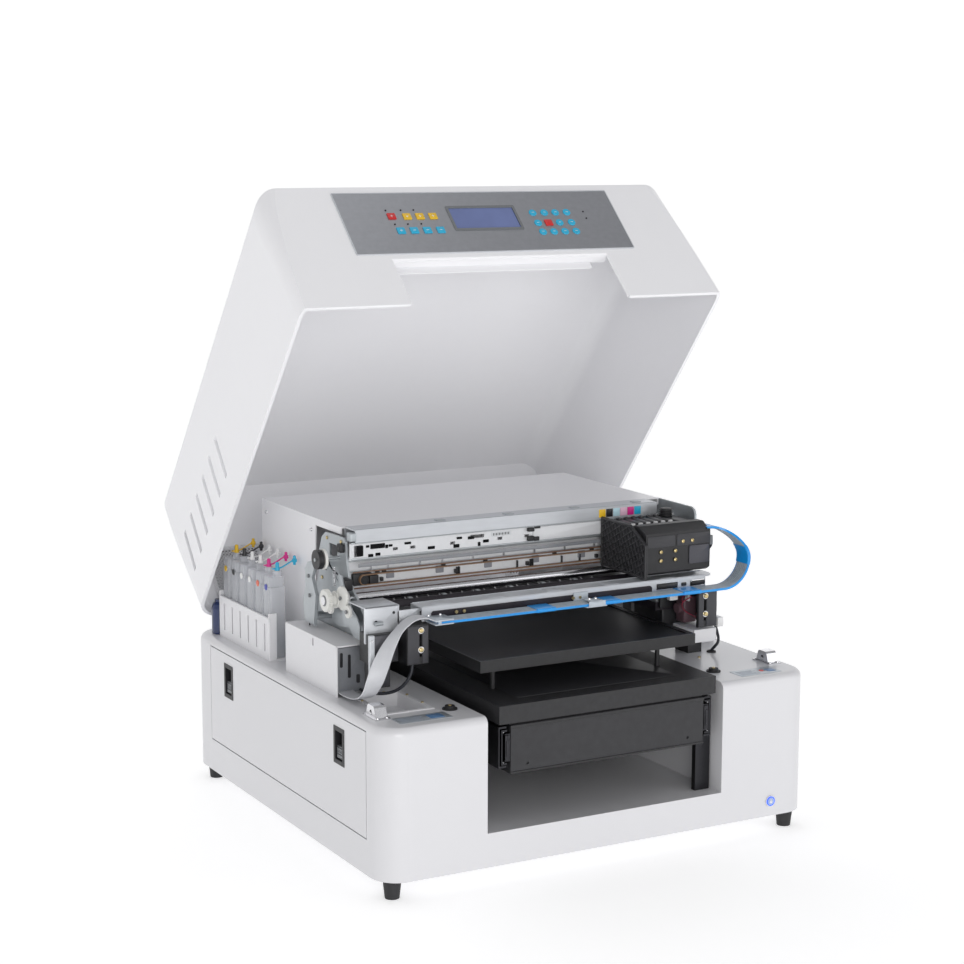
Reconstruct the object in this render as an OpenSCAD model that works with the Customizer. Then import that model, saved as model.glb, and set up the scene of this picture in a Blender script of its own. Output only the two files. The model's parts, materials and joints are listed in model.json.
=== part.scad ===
// Flatbed UV printer: a desktop cabinet with a tunnel for the sliding table, an inkjet
// engine across the top, a row of ink tanks, and a rear-hinged hood, shown open.
// Origin: the middle of the cabinet's footprint on the bench. +X right, +Y rear, +Z up.
// Places along Y are given as depths behind the cabinet's front face.

/* [Cabinet] */
// Width of the cabinet across its sides
base_w = 800; // [780:5:820]
// Depth of the cabinet from front face to back face
base_d = 774; // [770:2:790]
// Height of the cabinet's top above the bench
base_top = 272; // [270:1:274]
// Height of the rubber feet
foot_h = 31; // [24:1:36]
// Plan radius of the cabinet's upright corners
corner_r = 45; // [35:1:50]
// Radius of the cabinet's top edge
crown_r = 12; // [8:1:14]
// Wall thickness of the cabinet
wall = 8; // [7:0.5:9]
// Half the width of the table tunnel
tunnel_half = 220; // [218:1:222]
// Height of the tunnel's floor above the bench
tunnel_floor = 86; // [80:1:90]

/* [Hood] */
// Angle that the hood stands open
hood_angle = 51; // [0:1:51]
// Height of the hood's shell
hood_h = 262; // [262:1:270]
// Wall thickness of the hood
hood_wall = 6; // [5:0.5:7]
// Radius of the hood's top edges
hood_r = 34; // [25:1:40]
// Forward lean of the hood's front wall over its height
front_lean = 22; // [0:1:26]
// Forward lean of the hood's back wall over its height
back_lean = 52; // [40:1:56]
// Half the width of the notch in the hood's front wall
notch_half = 208; // [206:1:212]
// Height of the notch
notch_h = 100; // [90:1:105]

/* [Table] */
// Half the width of the platen and of the table's cap
table_half = 202; // [196:1:203]
// Depth of the table's cap
table_d = 540; // [520:5:545]
// Depth of the platen
platen_d = 480; // [440:5:485]
// Height of the platen's top above the bench
platen_top = 345; // [335:1:350]

/* [Engine] */
// Half the distance between the engine's side frames
frame_half = 314; // [312:1:316]
// Radius of the feed roller
roller_r = 7; // [5:0.5:7]
// Number of ink tanks
tank_count = 6; // [4:1:6]
// Distance from one ink tank to the next
tank_pitch = 36; // [35:0.5:37]

/* [Hidden] */
$fn = 48;
eps = 0.01;
front = -base_d / 2;
half_w = base_w / 2;
inner_r = corner_r - wall;
cabinet_h = base_top - foot_h;
fit = 0.06; // radial clearance of a running fit

// ---- shared shapes -------------------------------------------------------------

// Moves to x, a depth behind the front face, and a height above the bench
module at(x, depth, z) translate([x, front + depth, z]) children();

// Box between two values of x, of depth and of height
module block(x, depth, z) at(x[0], depth[0], z[0])
    cube([x[1] - x[0], depth[1] - depth[0], z[1] - z[0]]);

// The same box and its mirror image across the middle plane
module pair_block(x, depth, z) for (side = [0, 1]) mirror([side, 0, 0]) block(x, depth, z);

// Rectangle centred on the origin, with exact round corners
module round_rect(w, h, r) {
    square([w - 2 * r, h], center = true);
    square([w, h - 2 * r], center = true);
    for (sx = [-1, 1], sy = [-1, 1])
        translate([sx * (w / 2 - r), sy * (h / 2 - r)]) circle(r);
}

// Outline of a block's end: flat below, round at its two top corners
module crown_profile(w, h, r) {
    translate([-w / 2, 0]) square([w, h - r]);
    translate([-w / 2 + r, 0]) square([w - 2 * r, h]);
    for (side = [-1, 1]) translate([side * (w / 2 - r), h - r]) circle(r);
}

// Upright block with round corners of radius corner and a top edge of radius crown
module crowned_block(w, d, h, corner, crown) {
    rotate([90, 0, 0]) linear_extrude(d - 2 * corner, center = true) crown_profile(w, h, crown);
    rotate([90, 0, 90]) linear_extrude(w - 2 * corner, center = true) crown_profile(d, h, crown);
    for (quarter = [0:3]) {
        sx = (quarter == 0 || quarter == 3) ? 1 : -1;
        sy = quarter < 2 ? 1 : -1;
        translate([sx * (w / 2 - corner), sy * (d / 2 - corner), 0]) rotate(90 * quarter)
            rotate_extrude(angle = 90) {
                square([corner, h - crown]);
                square([corner - crown, h]);
                translate([corner - crown, h - crown]) circle(crown);
            }
    }
}

// Rod along X from x0 to x1 around a depth and a height
module rod_x(x0, x1, depth, z, r) at(x0, depth, z) rotate([0, 90, 0]) cylinder(h = x1 - x0, r = r);

// Rod along Y from one depth to another around x and a height
module rod_y(x, depth0, depth1, z, r)
    at(x, depth1, z) rotate([90, 0, 0]) cylinder(h = depth1 - depth0, r = r);

// Upright rod
module rod_z(x, depth, z0, z1, r) at(x, depth, z0) cylinder(h = z1 - z0, r = r);

// Profile in depth and height, carried along X from x0 to x1
module profile_x(x0, x1, points)
    at(x0, 0, 0) rotate([90, 0, 90]) linear_extrude(x1 - x0) polygon(points);

// Swept polyhedron through a list of closed rings with the same number of points
module skin(rings) {
    n = len(rings[0]);
    m = len(rings);
    points = [for (ring = rings) each ring];
    sides = [for (i = [0:m - 2], j = [0:n - 1])
        [i * n + j, i * n + (j + 1) % n, (i + 1) * n + (j + 1) % n, (i + 1) * n + j]];
    polyhedron(points, concat([[for (j = [n - 1:-1:0]) j]], sides,
        [[for (j = [0:n - 1]) (m - 1) * n + j]]));
}

function unit(v) = v / norm(v);
// Point on a smooth curve through four neighbours, u from 0 to 1 between the middle two
function spline(a, b, c, d, u) = 0.5 * (2 * b + (c - a) * u
    + (2 * a - 5 * b + 4 * c - d) * u * u + (3 * b - 3 * c + d - a) * u * u * u);
// Route with steps points between each two of the given ones
function smooth(p, steps) = [for (i = [0:len(p) - 2], k = [0:steps - 1])
    spline(p[max(i - 1, 0)], p[i], p[i + 1], p[min(i + 2, len(p) - 1)], k / steps), p[len(p) - 1]];
function heading(p, i) = unit(p[min(i + 1, len(p) - 1)] - p[max(i - 1, 0)]);
// Ring of an elliptical or boxed section, its wide axis along across
function ring_at(p, t, across, shape) =
    let (w = unit(across - (across * t) * t), u = cross(t, w))
    [for (s = shape) p + s[0] * w + s[1] * u];

// Tube or ribbon along a route: shape is the section's outline, counter-clockwise, and
// across holds the section's wide direction, one for each point of the route
module sweep(route, shape, across) skin([for (i = [0:len(route) - 1])
    ring_at(route[i], heading(route, i), across[i], shape)]);
function same(v, route) = [for (p = route) v];

function round_section(r, n) = [for (k = [0:n - 1]) [r * cos(360 * k / n), r * sin(360 * k / n)]];
function flat_section(w, t) = [[-w / 2, -t / 2], [w / 2, -t / 2], [w / 2, t / 2], [-w / 2, t / 2]];

// ---- cabinet -------------------------------------------------------------------

door_depth = [57, 692];   // the door's opening along the left side
door_z = [88, 260];
door_gap = 2;
door_t = 6;
door_pin_r = 2;
door_pin_z = door_z[0] + 10;
button_x = 320;
button_z = 57;
tray_x = [-345, -275];
tray_depth = [92, 200];
tray_floor = 248;
lead_hole = [325, 185];
inlet_x = -300;
inlet_z = 130;

module door_pins(r, reach) rod_y(-half_w + door_t / 2, door_depth[0] - reach,
    door_depth[1] + reach, door_pin_z, r);

module base_shell() color("white") difference() {
    translate([0, 0, foot_h]) crowned_block(base_w, base_d, cabinet_h, corner_r, crown_r);
    block([-tunnel_half, tunnel_half], [-1, base_d - wall], [tunnel_floor, base_top + 1]);
    difference() {
        translate([0, 0, foot_h + wall]) linear_extrude(cabinet_h - 2 * wall)
            round_rect(base_w - 2 * wall, base_d - 2 * wall, inner_r);
        block([-tunnel_half - wall, tunnel_half + wall], [-1, base_d], [tunnel_floor - wall, base_top]);
    }
    block([-half_w - 1, -half_w + wall + 1], door_depth, door_z);
    door_pins(door_pin_r + fit, 6);
    rod_y(button_x, -1, wall + 1, button_z, 8.1);
    block([tray_x[0] - 2.2, tray_x[1] + 2.2], [tray_depth[0] - 2.2, tray_depth[1] + 2.2],
        [base_top - wall - 1, base_top + 1]);
    rod_z(lead_hole[0], lead_hole[1], base_top - wall - 1, base_top + 1, 5);
    block([inlet_x - 14.5, inlet_x + 14.5], [base_d - wall - 1, base_d + 1],
        [inlet_z - 12.5, inlet_z + 12.5]);
}

foot_inset = 29;
module feet() color([0.08, 0.08, 0.09])
    for (x = [-half_w + foot_inset, half_w - foot_inset], depth = [foot_inset, base_d - foot_inset])
        at(x, depth, 0) cylinder(h = foot_h, r1 = 11.5, r2 = 15);

module recess_tray() color("white") difference() {
    union() {
        block([tray_x[0] - 7, tray_x[1] + 7], [tray_depth[0] - 7, tray_depth[1] + 7],
            [base_top, base_top + 1.2]);
        block([tray_x[0] - 2, tray_x[1] + 2], [tray_depth[0] - 2, tray_depth[1] + 2],
            [tray_floor, base_top + 0.5]);
    }
    block(tray_x, tray_depth, [tray_floor + 2, base_top + 2]);
}

catch_x = 369;
catch_depth = 84;
module hood_catches() color("silver") for (side = [-1, 1]) at(side * catch_x, catch_depth, base_top) {
    translate([-13, -23, 0]) cube([26, 46, 2]);
    translate([-10, 0, 2]) rotate([90, 0, 90]) linear_extrude(20) difference() {
        polygon([[-17, -eps], [17, -eps], [12, 15], [9, 18], [-9, 18], [-12, 15]]);
        translate([0, 7]) circle(3.5);
    }
}

bumper_x = 249;
bumper_depth = 70;
module rubber_bumpers() color([0.06, 0.06, 0.07])
    for (side = [-1, 1]) at(side * bumper_x, bumper_depth, base_top) rotate_extrude() {
        square([12, 2]);
        square([8, 6]);
    }

bracket_front = 128;  // depth of the height brackets' front face
bracket_x = [256, 294];
bracket_z = [334, 396];
guard_screws = [-196, -182, 21, 34];
guard_screw_z = 406;
module case_screws() color([0.85, 0.8, 0.62]) {
    for (x = [tray_x[0] - 4.5, tray_x[1] + 4.5], depth = [tray_depth[0] + 30, tray_depth[1] - 25])
        at(x, depth, base_top + 1.2) cylinder(h = 1.6, r = 2.3);
    for (x = [tray_x[0] + 22, tray_x[1] - 22]) at(x, tray_depth[1] + 4.5, base_top + 1.2)
        cylinder(h = 1.6, r = 2.3);
    at(284, 162, base_top) cylinder(h = 1.8, r = 2.6);
    for (side = [-1, 1], z = [357, 388])
        rod_y(side * 270, bracket_front - 2.5, bracket_front, z, 3.6);
    for (x = guard_screws) rod_y(x, 146, 148, guard_screw_z, 2.6);
    for (side = [-1, 1]) at(side * bumper_x, bumper_depth, base_top + 6) cylinder(h = 1.5, r = 3);
}

module button_ring() color("silver") difference() {
    union() {
        rod_y(button_x, -2, 0, button_z, 9.5);
        rod_y(button_x, -eps, wall + 10, button_z, 8);
    }
    rod_y(button_x, -3, wall + 6, button_z, 6.2 + fit);
}

module power_button() color([0.75, 0.8, 0.9]) rod_y(button_x, -3, 9, button_z, 6.2);

module mains_inlet() color([0.05, 0.05, 0.05]) difference() {
    union() {
        block([inlet_x - 25, inlet_x + 25], [base_d, base_d + 2.5], [inlet_z - 14.5, inlet_z + 14.5]);
        block([inlet_x - 14, inlet_x + 14], [base_d - 24, base_d + eps], [inlet_z - 12, inlet_z + 12]);
    }
    block([inlet_x - 12, inlet_x + 12], [base_d - 18, base_d + 3], [inlet_z - 8.5, inlet_z + 8.5]);
}

module power_supply() color("gray") {
    block([-385, -275], [380, 590], [foot_h + wall, foot_h + wall + 46]);
    block([-275, -262], [392, 578], [foot_h + wall + 8, foot_h + wall + 22]);
}

module main_board() color("darkgreen") {
    block([250, 384], [260, 500], [foot_h + wall + 10, foot_h + wall + 12]);
    for (x = [256, 378], depth = [266, 494])
        rod_z(x, depth, foot_h + wall, foot_h + wall + 10, 3);
    block([270, 300], [300, 330], [foot_h + wall + 12, foot_h + wall + 16]);
    block([320, 372], [420, 470], [foot_h + wall + 12, foot_h + wall + 30]);
    block([262, 290], [460, 492], [foot_h + wall + 12, foot_h + wall + 24]);
}

// ---- service door --------------------------------------------------------------

latch_depths = [154, 607];  // the front and the rear latch
latch_z = 212;
bezel = [38, 60];
pocket = [26, 46];

module latch_opening(depth, size, x) block(x, [depth - size[0] / 2, depth + size[0] / 2],
    [latch_z - size[1] / 2, latch_z + size[1] / 2]);

module service_door() color("white") difference() {
    union() {
        block([-half_w, -half_w + door_t], [door_depth[0] + door_gap, door_depth[1] - door_gap],
            [door_z[0] + door_gap, door_z[1] - door_gap]);
        door_pins(door_pin_r, 4);
    }
    for (depth = latch_depths)
        latch_opening(depth, bezel - [4, 4], [-half_w - 1, -half_w + door_t + 1]);
}

module latch_bezels() color([0.09, 0.09, 0.1]) for (depth = latch_depths) difference() {
    union() {
        latch_opening(depth, bezel, [-half_w - 1, -half_w]);
        latch_opening(depth, bezel - [4.4, 4.4], [-half_w - eps, -half_w + 12]);
    }
    latch_opening(depth, pocket, [-half_w - 2, -half_w + 10]);
}

module latch(depth) color([0.16, 0.16, 0.17]) {
    block([-half_w + 3, -half_w + 9.6], [depth - 12.6, depth + 12.6], [latch_z - 22, latch_z - 2]);
    for (k = [0:2])
        block([-half_w + 1, -half_w + 3 + eps], [depth - 9, depth + 9],
            [latch_z - 19 + 6 * k, latch_z - 16.5 + 6 * k]);
}

module front_latch() latch(latch_depths[0]);
module rear_latch() latch(latch_depths[1]);

// ---- table and its slides ------------------------------------------------------

body_half = 180;           // half the width of the table's body under its cap
cap_z = [258, 287];
body_z = [176, 258];
rail_d = 560;              // length of each slide member
guide_x = 156;             // the platen's guide rods
guide_depths = [100, 494];
guide_r = 4;
screw_r = 5;
screw_depth = 297;

module slide_outer_members() color([0.5, 0.5, 0.52]) for (side = [0, 1]) mirror([side, 0, 0]) {
    block([197, 199], [4, 4 + rail_d], [186, 252]);
    block([185, 197 + eps], [4, 4 + rail_d], [186, 189]);
    block([185, 197 + eps], [4, 4 + rail_d], [249, 252]);
    for (depth = [70, 280, 490]) block([199 - eps, tunnel_half], [depth, depth + 40], [200, 238]);
    for (depth = [side == 0 ? 30 : 66, 524])
        block([188, 216], [depth, depth + 10], [tunnel_floor, 186 + eps]);
}

module slide_middle_members() color([0.62, 0.62, 0.64]) for (side = [0, 1]) mirror([side, 0, 0]) {
    block([193, 195], [2, 2 + rail_d], [191, 247]);
    block([185, 193 + eps], [2, 2 + rail_d], [191, 194]);
    block([185, 193 + eps], [2, 2 + rail_d], [244, 247]);
}

module slide_inner_members() color([0.55, 0.55, 0.57])
    pair_block([body_half, 190], [0, table_d - 8], [197, 241]);

module table_carriage() color([0.11, 0.11, 0.12]) difference() {
    union() {
        difference() {
            union() {
                block([-table_half, table_half], [-4, table_d - 4], cap_z);
                block([-body_half, body_half], [4, table_d - 10], body_z + [0, eps]);
            }
            block([-body_half + 4, body_half - 4], [8, table_d - 14], [body_z[0] + 4, cap_z[1] - 4]);
        }
        for (x = [-guide_x, guide_x], depth = guide_depths) rod_z(x, depth, 262, 283 + eps, 9);
    }
    for (x = [-guide_x, guide_x], depth = guide_depths) rod_z(x, depth, 250, 290, guide_r + fit);
    rod_z(0, screw_depth, 280, 290, screw_r + 1);
}

module table_front_panel() color([0.14, 0.14, 0.15]) difference() {
    block([-body_half, body_half], [-1, 4], [body_z[0], 254]);
    for (x = [-150, 150]) rod_y(x, -2, 1, 190, 2.5);
}

module lift_motor() color([0.2, 0.2, 0.22]) difference() {
    block([-28, 28], [screw_depth - 28, screw_depth + 28], [240, 283]);
    rod_z(0, screw_depth, 239, 284, screw_r + fit);
}

module platen() color([0.1, 0.1, 0.11]) difference() {
    block([-table_half, table_half], [57, 57 + platen_d], [platen_top - 19, platen_top]);
    block([-table_half + 10, table_half - 10], [67, 47 + platen_d], [platen_top - 2, platen_top + 1]);
    block([-table_half + 6, table_half - 6], [63, 51 + platen_d], [platen_top - 20, platen_top - 6]);
}

module platen_guides() color("silver") {
    for (x = [-guide_x, guide_x], depth = guide_depths)
        rod_z(x, depth, 215, platen_top - 6, guide_r);
    rod_z(0, screw_depth, 212, platen_top - 6, screw_r);
}

// ---- engine --------------------------------------------------------------------

plate_t = 4;
roller_depth = 284;
roller_z = 415;
wheel_depth = 322;
wheel_z = 475;
belt_z = 440;
pulley_x = 288;
pulley_r = 7.2;

module engine_mounts() {
    color([0.1, 0.1, 0.11]) for (side = [0, 1]) mirror([side, 0, 0]) difference() {
        union() {
            block(bracket_x, [bracket_front, bracket_front + 5], bracket_z);
            block([bracket_x[1] - 5, bracket_x[1]], [bracket_front, 232], bracket_z);
        }
        block([268, 272], [bracket_front - 1, bracket_front + 6], [345, 392]);
    }
    color([0.15, 0.15, 0.16]) {
        block([-350, -300], [147, 182], [338, 384]);
        block([-344, -314], [147, 176], [298, 338 + eps]);
    }
    color("gainsboro") block([-352, -344], [141, 147 + eps], [296, 384]);
    color("gray") block([284, 312], [196, 236], [base_top, 306]);
    color("white") block([254, 300], [136, 200], [306, 328]);
    color("gray") for (side = [0, 1]) mirror([side, 0, 0]) {
        block([296, frame_half], [244, 262], [side == 0 ? 306 : base_top, 348]);
        block([296, frame_half], [396, 424], [base_top, 360]);
    }
}

frame_outline = [[236, 340], [430, 340], [430, 392], [404, 432], [404, 470], [392, 498], [378, 508],
    [308, 510], [300, 504], [297, 470], [290, 448], [276, 430], [256, 416], [236, 396]];
module left_engine_frame() color([0.68, 0.71, 0.73]) {
    difference() {
        profile_x(-frame_half - plate_t, -frame_half, frame_outline);
        block([-330, -300], [331, 361], [473, 493]);
        rod_x(-330, -300, roller_depth, roller_z, roller_r + fit);
        rod_x(-330, -300, 350, 400, 9);
        rod_x(-330, -300, 262, 372, 7);
        block([-330, -300], [372, 386], [444, 456]);
    }
    difference() {
        profile_x(-352, -349, [[345, 360], [385, 360], [390, 395], [380, 420], [382, 450], [374, 462],
            [352, 468], [342, 456], [352, 440], [336, 412]]);
        rod_x(-355, -345, 362, 400, 6);
        rod_x(-355, -345, 366, 436, 4);
    }
    for (p = [[378, 372], [366, 456], [354, 372]])
        rod_x(-349 - eps, -frame_half - plate_t + eps, p[0], p[1], 4);
    rod_x(-363, -frame_half - plate_t + eps, wheel_depth, wheel_z, 3);
}

right_outline = [[236, 340], [430, 340], [430, 392], [404, 432], [404, 470], [376, 500], [350, 520],
    [240, 520], [231, 516], [227, 508], [227, 430], [236, 408]];
module right_engine_frame() color([0.62, 0.65, 0.67]) difference() {
    profile_x(frame_half, frame_half + plate_t, right_outline);
    rod_x(300, 330, roller_depth, roller_z, roller_r + fit);
    block([300, 330], [296, 330], [452, 492]);
    rod_x(300, 330, 380, 400, 12);
}

// Cross-section of the sheet that joins the side frames, with a step above the belt
sheet = [[292, 474], [292, 502], [294, 502], [294, 476], [308, 472], [308, 428], [299, 428],
    [299, 430], [306, 430], [306, 470]];
t_slots = [-270, -238, -180, -138, -80, -20, 40, 100, 160, 220];
module rear_frame_plate() color([0.8, 0.81, 0.83]) difference() {
    profile_x(-frame_half, frame_half, sheet);
    block([-306, -292], [290, 296], [479, 498]);
    for (x = [-276, -92, 60, 180]) block([x, x + 26], [290, 296], [491, 497]);
    for (x = [-236, -204, -130, -40, 12, 120]) block([x, x + 9], [290, 296], [484, 489]);
    for (x = t_slots) {
        block([x - 4, x + 4], [300, 310], [460, 465]);
        block([x - 2, x + 2], [300, 310], [453, 461]);
    }
    rod_y(pulley_x, 300, 310, belt_z, 3.2);
    rod_y(-pulley_x, 300, 310, belt_z, 3.2);
}

rail_right = 276;
module top_rail() color([0.72, 0.74, 0.76]) {
    at(-306, 290, 502) rotate([90, 0, 0]) linear_extrude(2) difference() {
        square([rail_right + 306, 22]);
        translate([rail_right + 300, 0]) difference() {
            square([7, 6]);
            translate([0, 6]) circle(6);
        }
    }
    block([-306, rail_right], [290 - eps, 328], [522, 524]);
    block([-306, rail_right], [326, 328], [508, 522 + eps]);
}

rail_front = 150;
front_rail_x = [-256, 305];
front_slots = [[186, 229], [254, 284]];
module front_rail() color([0.78, 0.79, 0.81]) difference() {
    union() {
        at(0, 0, 416) linear_extrude(2) difference() {
            translate([front_rail_x[0], rail_front]) square([front_rail_x[1] - front_rail_x[0], 40]);
            translate([front_rail_x[1] - 20, rail_front - 1]) difference() {
                square([21, 21]);
                translate([0, 21]) circle(20);
            }
        }
        block([front_rail_x[0], front_rail_x[1] - 20], [rail_front, rail_front + 2], [396, 416 + eps]);
        block([front_rail_x[0], front_rail_x[1]], [188, 190], [404, 416 + eps]);
    }
    for (slot = front_slots) block(slot, [rail_front - 1, rail_front + 3], [402, 412]);
}

module head_guard() color([0.13, 0.12, 0.14]) at(-32, rail_front, 404) rotate([90, 0, 0])
    linear_extrude(2) round_rect(416, 14, 5);

module feed_roller() color("silver")
    rod_x(-366, frame_half + plate_t, roller_depth, roller_z, roller_r);

module feed_gear() color([0.93, 0.93, 0.91]) difference() {
    union() {
        rod_x(-364, -356, roller_depth, roller_z, 17);
        rod_x(-356 - eps, -346, roller_depth, roller_z, 9);
        rod_x(-346 - eps, -342, roller_depth, roller_z, 14);
    }
    rod_x(-365, -341, roller_depth, roller_z, roller_r);
}

module relay_wheel() color([0.08, 0.08, 0.09]) difference() {
    union() {
        rod_x(-361, -352, wheel_depth, wheel_z, 16);
        rod_x(-352 - eps, -346, wheel_depth, wheel_z, 9);
    }
    rod_x(-362, -345, wheel_depth, wheel_z, 3 + fit);
}

module belt_loop(r) {
    square([2 * pulley_x, 2 * r], center = true);
    for (side = [-1, 1]) translate([side * pulley_x, 0]) circle(r);
}
module timing_belt() color([0.62, 0.43, 0.3]) at(0, 298, belt_z) rotate([90, 0, 0])
    linear_extrude(7) difference() {
        belt_loop(pulley_r + 1.6);
        belt_loop(pulley_r + 0.2);
    }

module pulley(x) difference() {
    union() {
        rod_y(x, 290.5, 299, belt_z, pulley_r);
        rod_y(x, 299 - eps, 311, belt_z, 2.6);
    }
    for (k = [0:5]) at(x + 4.6 * cos(60 * k), 291.5, belt_z + 4.6 * sin(60 * k)) rotate([90, 0, 0])
        cylinder(h = 2, r = 1);
}
module drive_pulley() color("silver") pulley(pulley_x);
module idler_pulley() color("dimgray") pulley(-pulley_x);

module drive_motors() color([0.35, 0.36, 0.38]) {
    rod_y(pulley_x, 312, 350, belt_z, 17);
    rod_x(-frame_half, -276, 380, 420, 18);
}

module capping_station() color([0.16, 0.14, 0.15]) difference() {
    union() {
        block([222, 286], [206, 300], [352, 366]);
        block([230, 286], [214, 268], [366 - eps, 388]);
        rod_x(236, 280, 286, 378, 9);
        block([236, 280], [276, 296], [366 - eps, 378]);
    }
    block([236, 280], [220, 262], [380, 389]);
}

// ---- print carriage ------------------------------------------------------------

ribbed_outline = [[150, 424], [286, 424], [286, 506], [195, 506], [150, 480]];
module ribbed_cover() color([0.07, 0.07, 0.08]) profile_x(163, 168, ribbed_outline);

module carriage_body() color([0.1, 0.1, 0.11]) difference() {
    union() {
        block([168, 298], [200, 286], [424, 498]);
        block([220, 250], [286 - eps, 297], [449, 456]);
    }
    block([174, 292], [206, 280], [432, 499]);
    block([200, 296], [222, 262], [423, 433]);
}

module ink_dampers() {
    color([0.09, 0.09, 0.1]) {
        block([176, 294], [226, 282], [498, 503]);
        for (k = [0:5]) block([181 + 15 * k, 193 + 15 * k], [228, 280], [503 - eps, 507]);
        at(280, 266, 503 - eps) cylinder(h = 14, r = 11);
    }
    color("white") for (k = [0:5]) block([184 + 15 * k, 192 + 15 * k], [222, 226 + eps], [492, 503]);
}

lamp_side = [[155, 430], [162, 426], [200, 426], [200, 506], [176, 508], [155, 498]];
module lamp_box() color([0.14, 0.14, 0.16]) {
    profile_x(168, 298, lamp_side);
    block([298 - eps, 305], [160, 172], [470, 482]);
}

module print_head() color([0.3, 0.31, 0.33]) {
    block([200, 296], [222, 262], [402, 432]);
    block([208, 288], [228, 256], [397, 402 + eps]);
}

// ---- ink band, cables and leads ------------------------------------------------

band_w = 33;
band_t = 5;
band_depth = 131;
band_z = 399.5;             // middle of the lower run
loop_r = 49;
loop_x = 301;               // where the lower run turns up
loop_z = band_z + loop_r;
band_back = 42;             // how far the band steps back as it rises
loop_turns = [-90:10:90];

function band_depth_at(t) = band_depth + (t > 0 ? band_back * (1 - cos(2 * t)) / 2 : 0);
function band_ring(t) = let (depth = front + band_depth_at(t))
    [for (s = [[-1, -1], [1, -1], [1, 1], [-1, 1]])
        [loop_x + (loop_r + s[1] * band_t / 2) * cos(t), depth + s[0] * band_w / 2,
         loop_z + (loop_r + s[1] * band_t / 2) * sin(t)]];

module ink_band_lower() color([0.15, 0.5, 0.85])
    block([-246, loop_x], [band_depth - band_w / 2, band_depth + band_w / 2],
        [band_z - band_t / 2, band_z + band_t / 2]);

module ink_band_loop() color([0.15, 0.5, 0.85]) skin([for (t = loop_turns) band_ring(t)]);

module ink_band_upper() color([0.15, 0.5, 0.85])
    block([298, loop_x], [band_depth + band_back - band_w / 2, band_depth + band_back + band_w / 2],
        [loop_z + loop_r - band_t / 2, loop_z + loop_r + band_t / 2]);

// Routes as x, depth and height, from the head end to the electronics
ribbon_route = [[-246, 131, 400], [-257, 130.59, 400.83], [-270, 127, 408], [-288, 125, 408],
    [-310, 124, 393], [-328, 124, 368], [-342, 124, 340], [-352, 126, 314], [-358, 134, 294],
    [-360, 154, 284], [-360, 184, 280], [-358, 214, 279], [-354, 240, 279]];
left_lead_route = [[-280, 137, 333], [-282, 138, 318], [-290, 142, 302], [-302, 150, 290],
    [-316, 166, 283], [-328, 196, 279], [-330, 236, 278]];
right_lead_route = [[298, 142, 342], [303, 143, 330], [310, 147, 316], [319, 156, 303],
    [326, 168, 292], [328, 179, 283], [325, 185, 274], [325, 185, 262]];
function placed(route) = [for (p = route) [p[0], front + p[1], p[2]]];
// Quarter turn of the ribbon's wide direction between two heights
function ribbon_turn(p) = let (a = 90 * min(1, max(0, (392 - p[2]) / 90))) [-sin(a), cos(a), 0];

module ribbon_cable() color("gainsboro") {
    route = smooth(placed(ribbon_route), 4);
    sweep(route, flat_section(27, 1.6), [for (p = route) ribbon_turn(p)]);
}

module signal_leads() color([0.12, 0.14, 0.2]) {
    left = smooth(placed(left_lead_route), 5);
    sweep(left, round_section(2.6, 8), same([1, 1, 0.1], left));
    right = smooth(placed(right_lead_route), 4);
    sweep(right, round_section(2.6, 8), same([0.3, 1, 0.2], right));
}

// ---- covers, ink tanks ---------------------------------------------------------

module electronics_cover() color("white") difference() {
    block([-375, -320], [215, 415], [base_top, 355]);
    block([-373, -319], [214, 413], [base_top - 1, 353]);
    block([-376, -372], [303, 308], [338, 350]);
}

cover_half = 310;
module rear_engine_cover() color("white") difference() {
    block([-cover_half, cover_half], [334, 660], [base_top, 522]);
    block([-cover_half + 2.5, cover_half - 2.5], [333, 657.5], [base_top - 1, 519.5]);
    pair_block([300, cover_half + 1], [333, 434], [base_top - 1, 510]);
    block([-212, 212], [650, 661], [base_top - 1, 400]);
}

rack_x = [-375, -336];
rack_depth = [484, 706];
rack_top = 346;
tank_x = [-371, -341];
tank_z = [base_top + 3, 416];
function tank_centre(k) = rack_depth[0] + 20 + tank_pitch * k;
module ink_rack() color("white") difference() {
    union() {
        block([rack_x[0], rack_x[0] + 2.5], rack_depth, [base_top, rack_top]);
        block(rack_x, rack_depth, [base_top, base_top + 2.5]);
        for (depth = [rack_depth[0], rack_depth[1] - 2.5])
            block([rack_x[0], rack_x[0] + 14], [depth, depth + 2.5], [base_top, rack_top + 8]);
    }
    for (k = [0:tank_count - 1])
        block([rack_x[0] - 1, rack_x[0] + 3], [tank_centre(k) - 3, tank_centre(k) + 3], [286, 334]);
}

tank_t = 30;
plug_x = -350;
module ink_tanks() color([0.93, 0.94, 0.96, 0.6]) for (k = [0:tank_count - 1]) {
    block(tank_x, [tank_centre(k) - tank_t / 2, tank_centre(k) + tank_t / 2], tank_z);
    rod_z(plug_x, tank_centre(k), tank_z[1] - eps, tank_z[1] + 8, 7.5);
}

// A plug in each tank's neck, tied by a rising strap to the spare plug of its air hole
module ink_stoppers() color("orchid") for (k = [0:tank_count - 1]) {
    rod_z(plug_x, tank_centre(k), tank_z[1] + 8, tank_z[1] + 22, 3.2);
    at(0, tank_centre(k) + 1.5, tank_z[1]) rotate([90, 0, 0]) linear_extrude(3)
        polygon([[plug_x - 9, 11], [plug_x + 9, 11], [plug_x + 32, 21], [plug_x + 32, 24],
            [plug_x + 8, 13.5], [plug_x - 9, 13.5]]);
    rod_z(plug_x + 32, tank_centre(k), tank_z[1] + 14, tank_z[1] + 31, 2.4);
}

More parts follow.
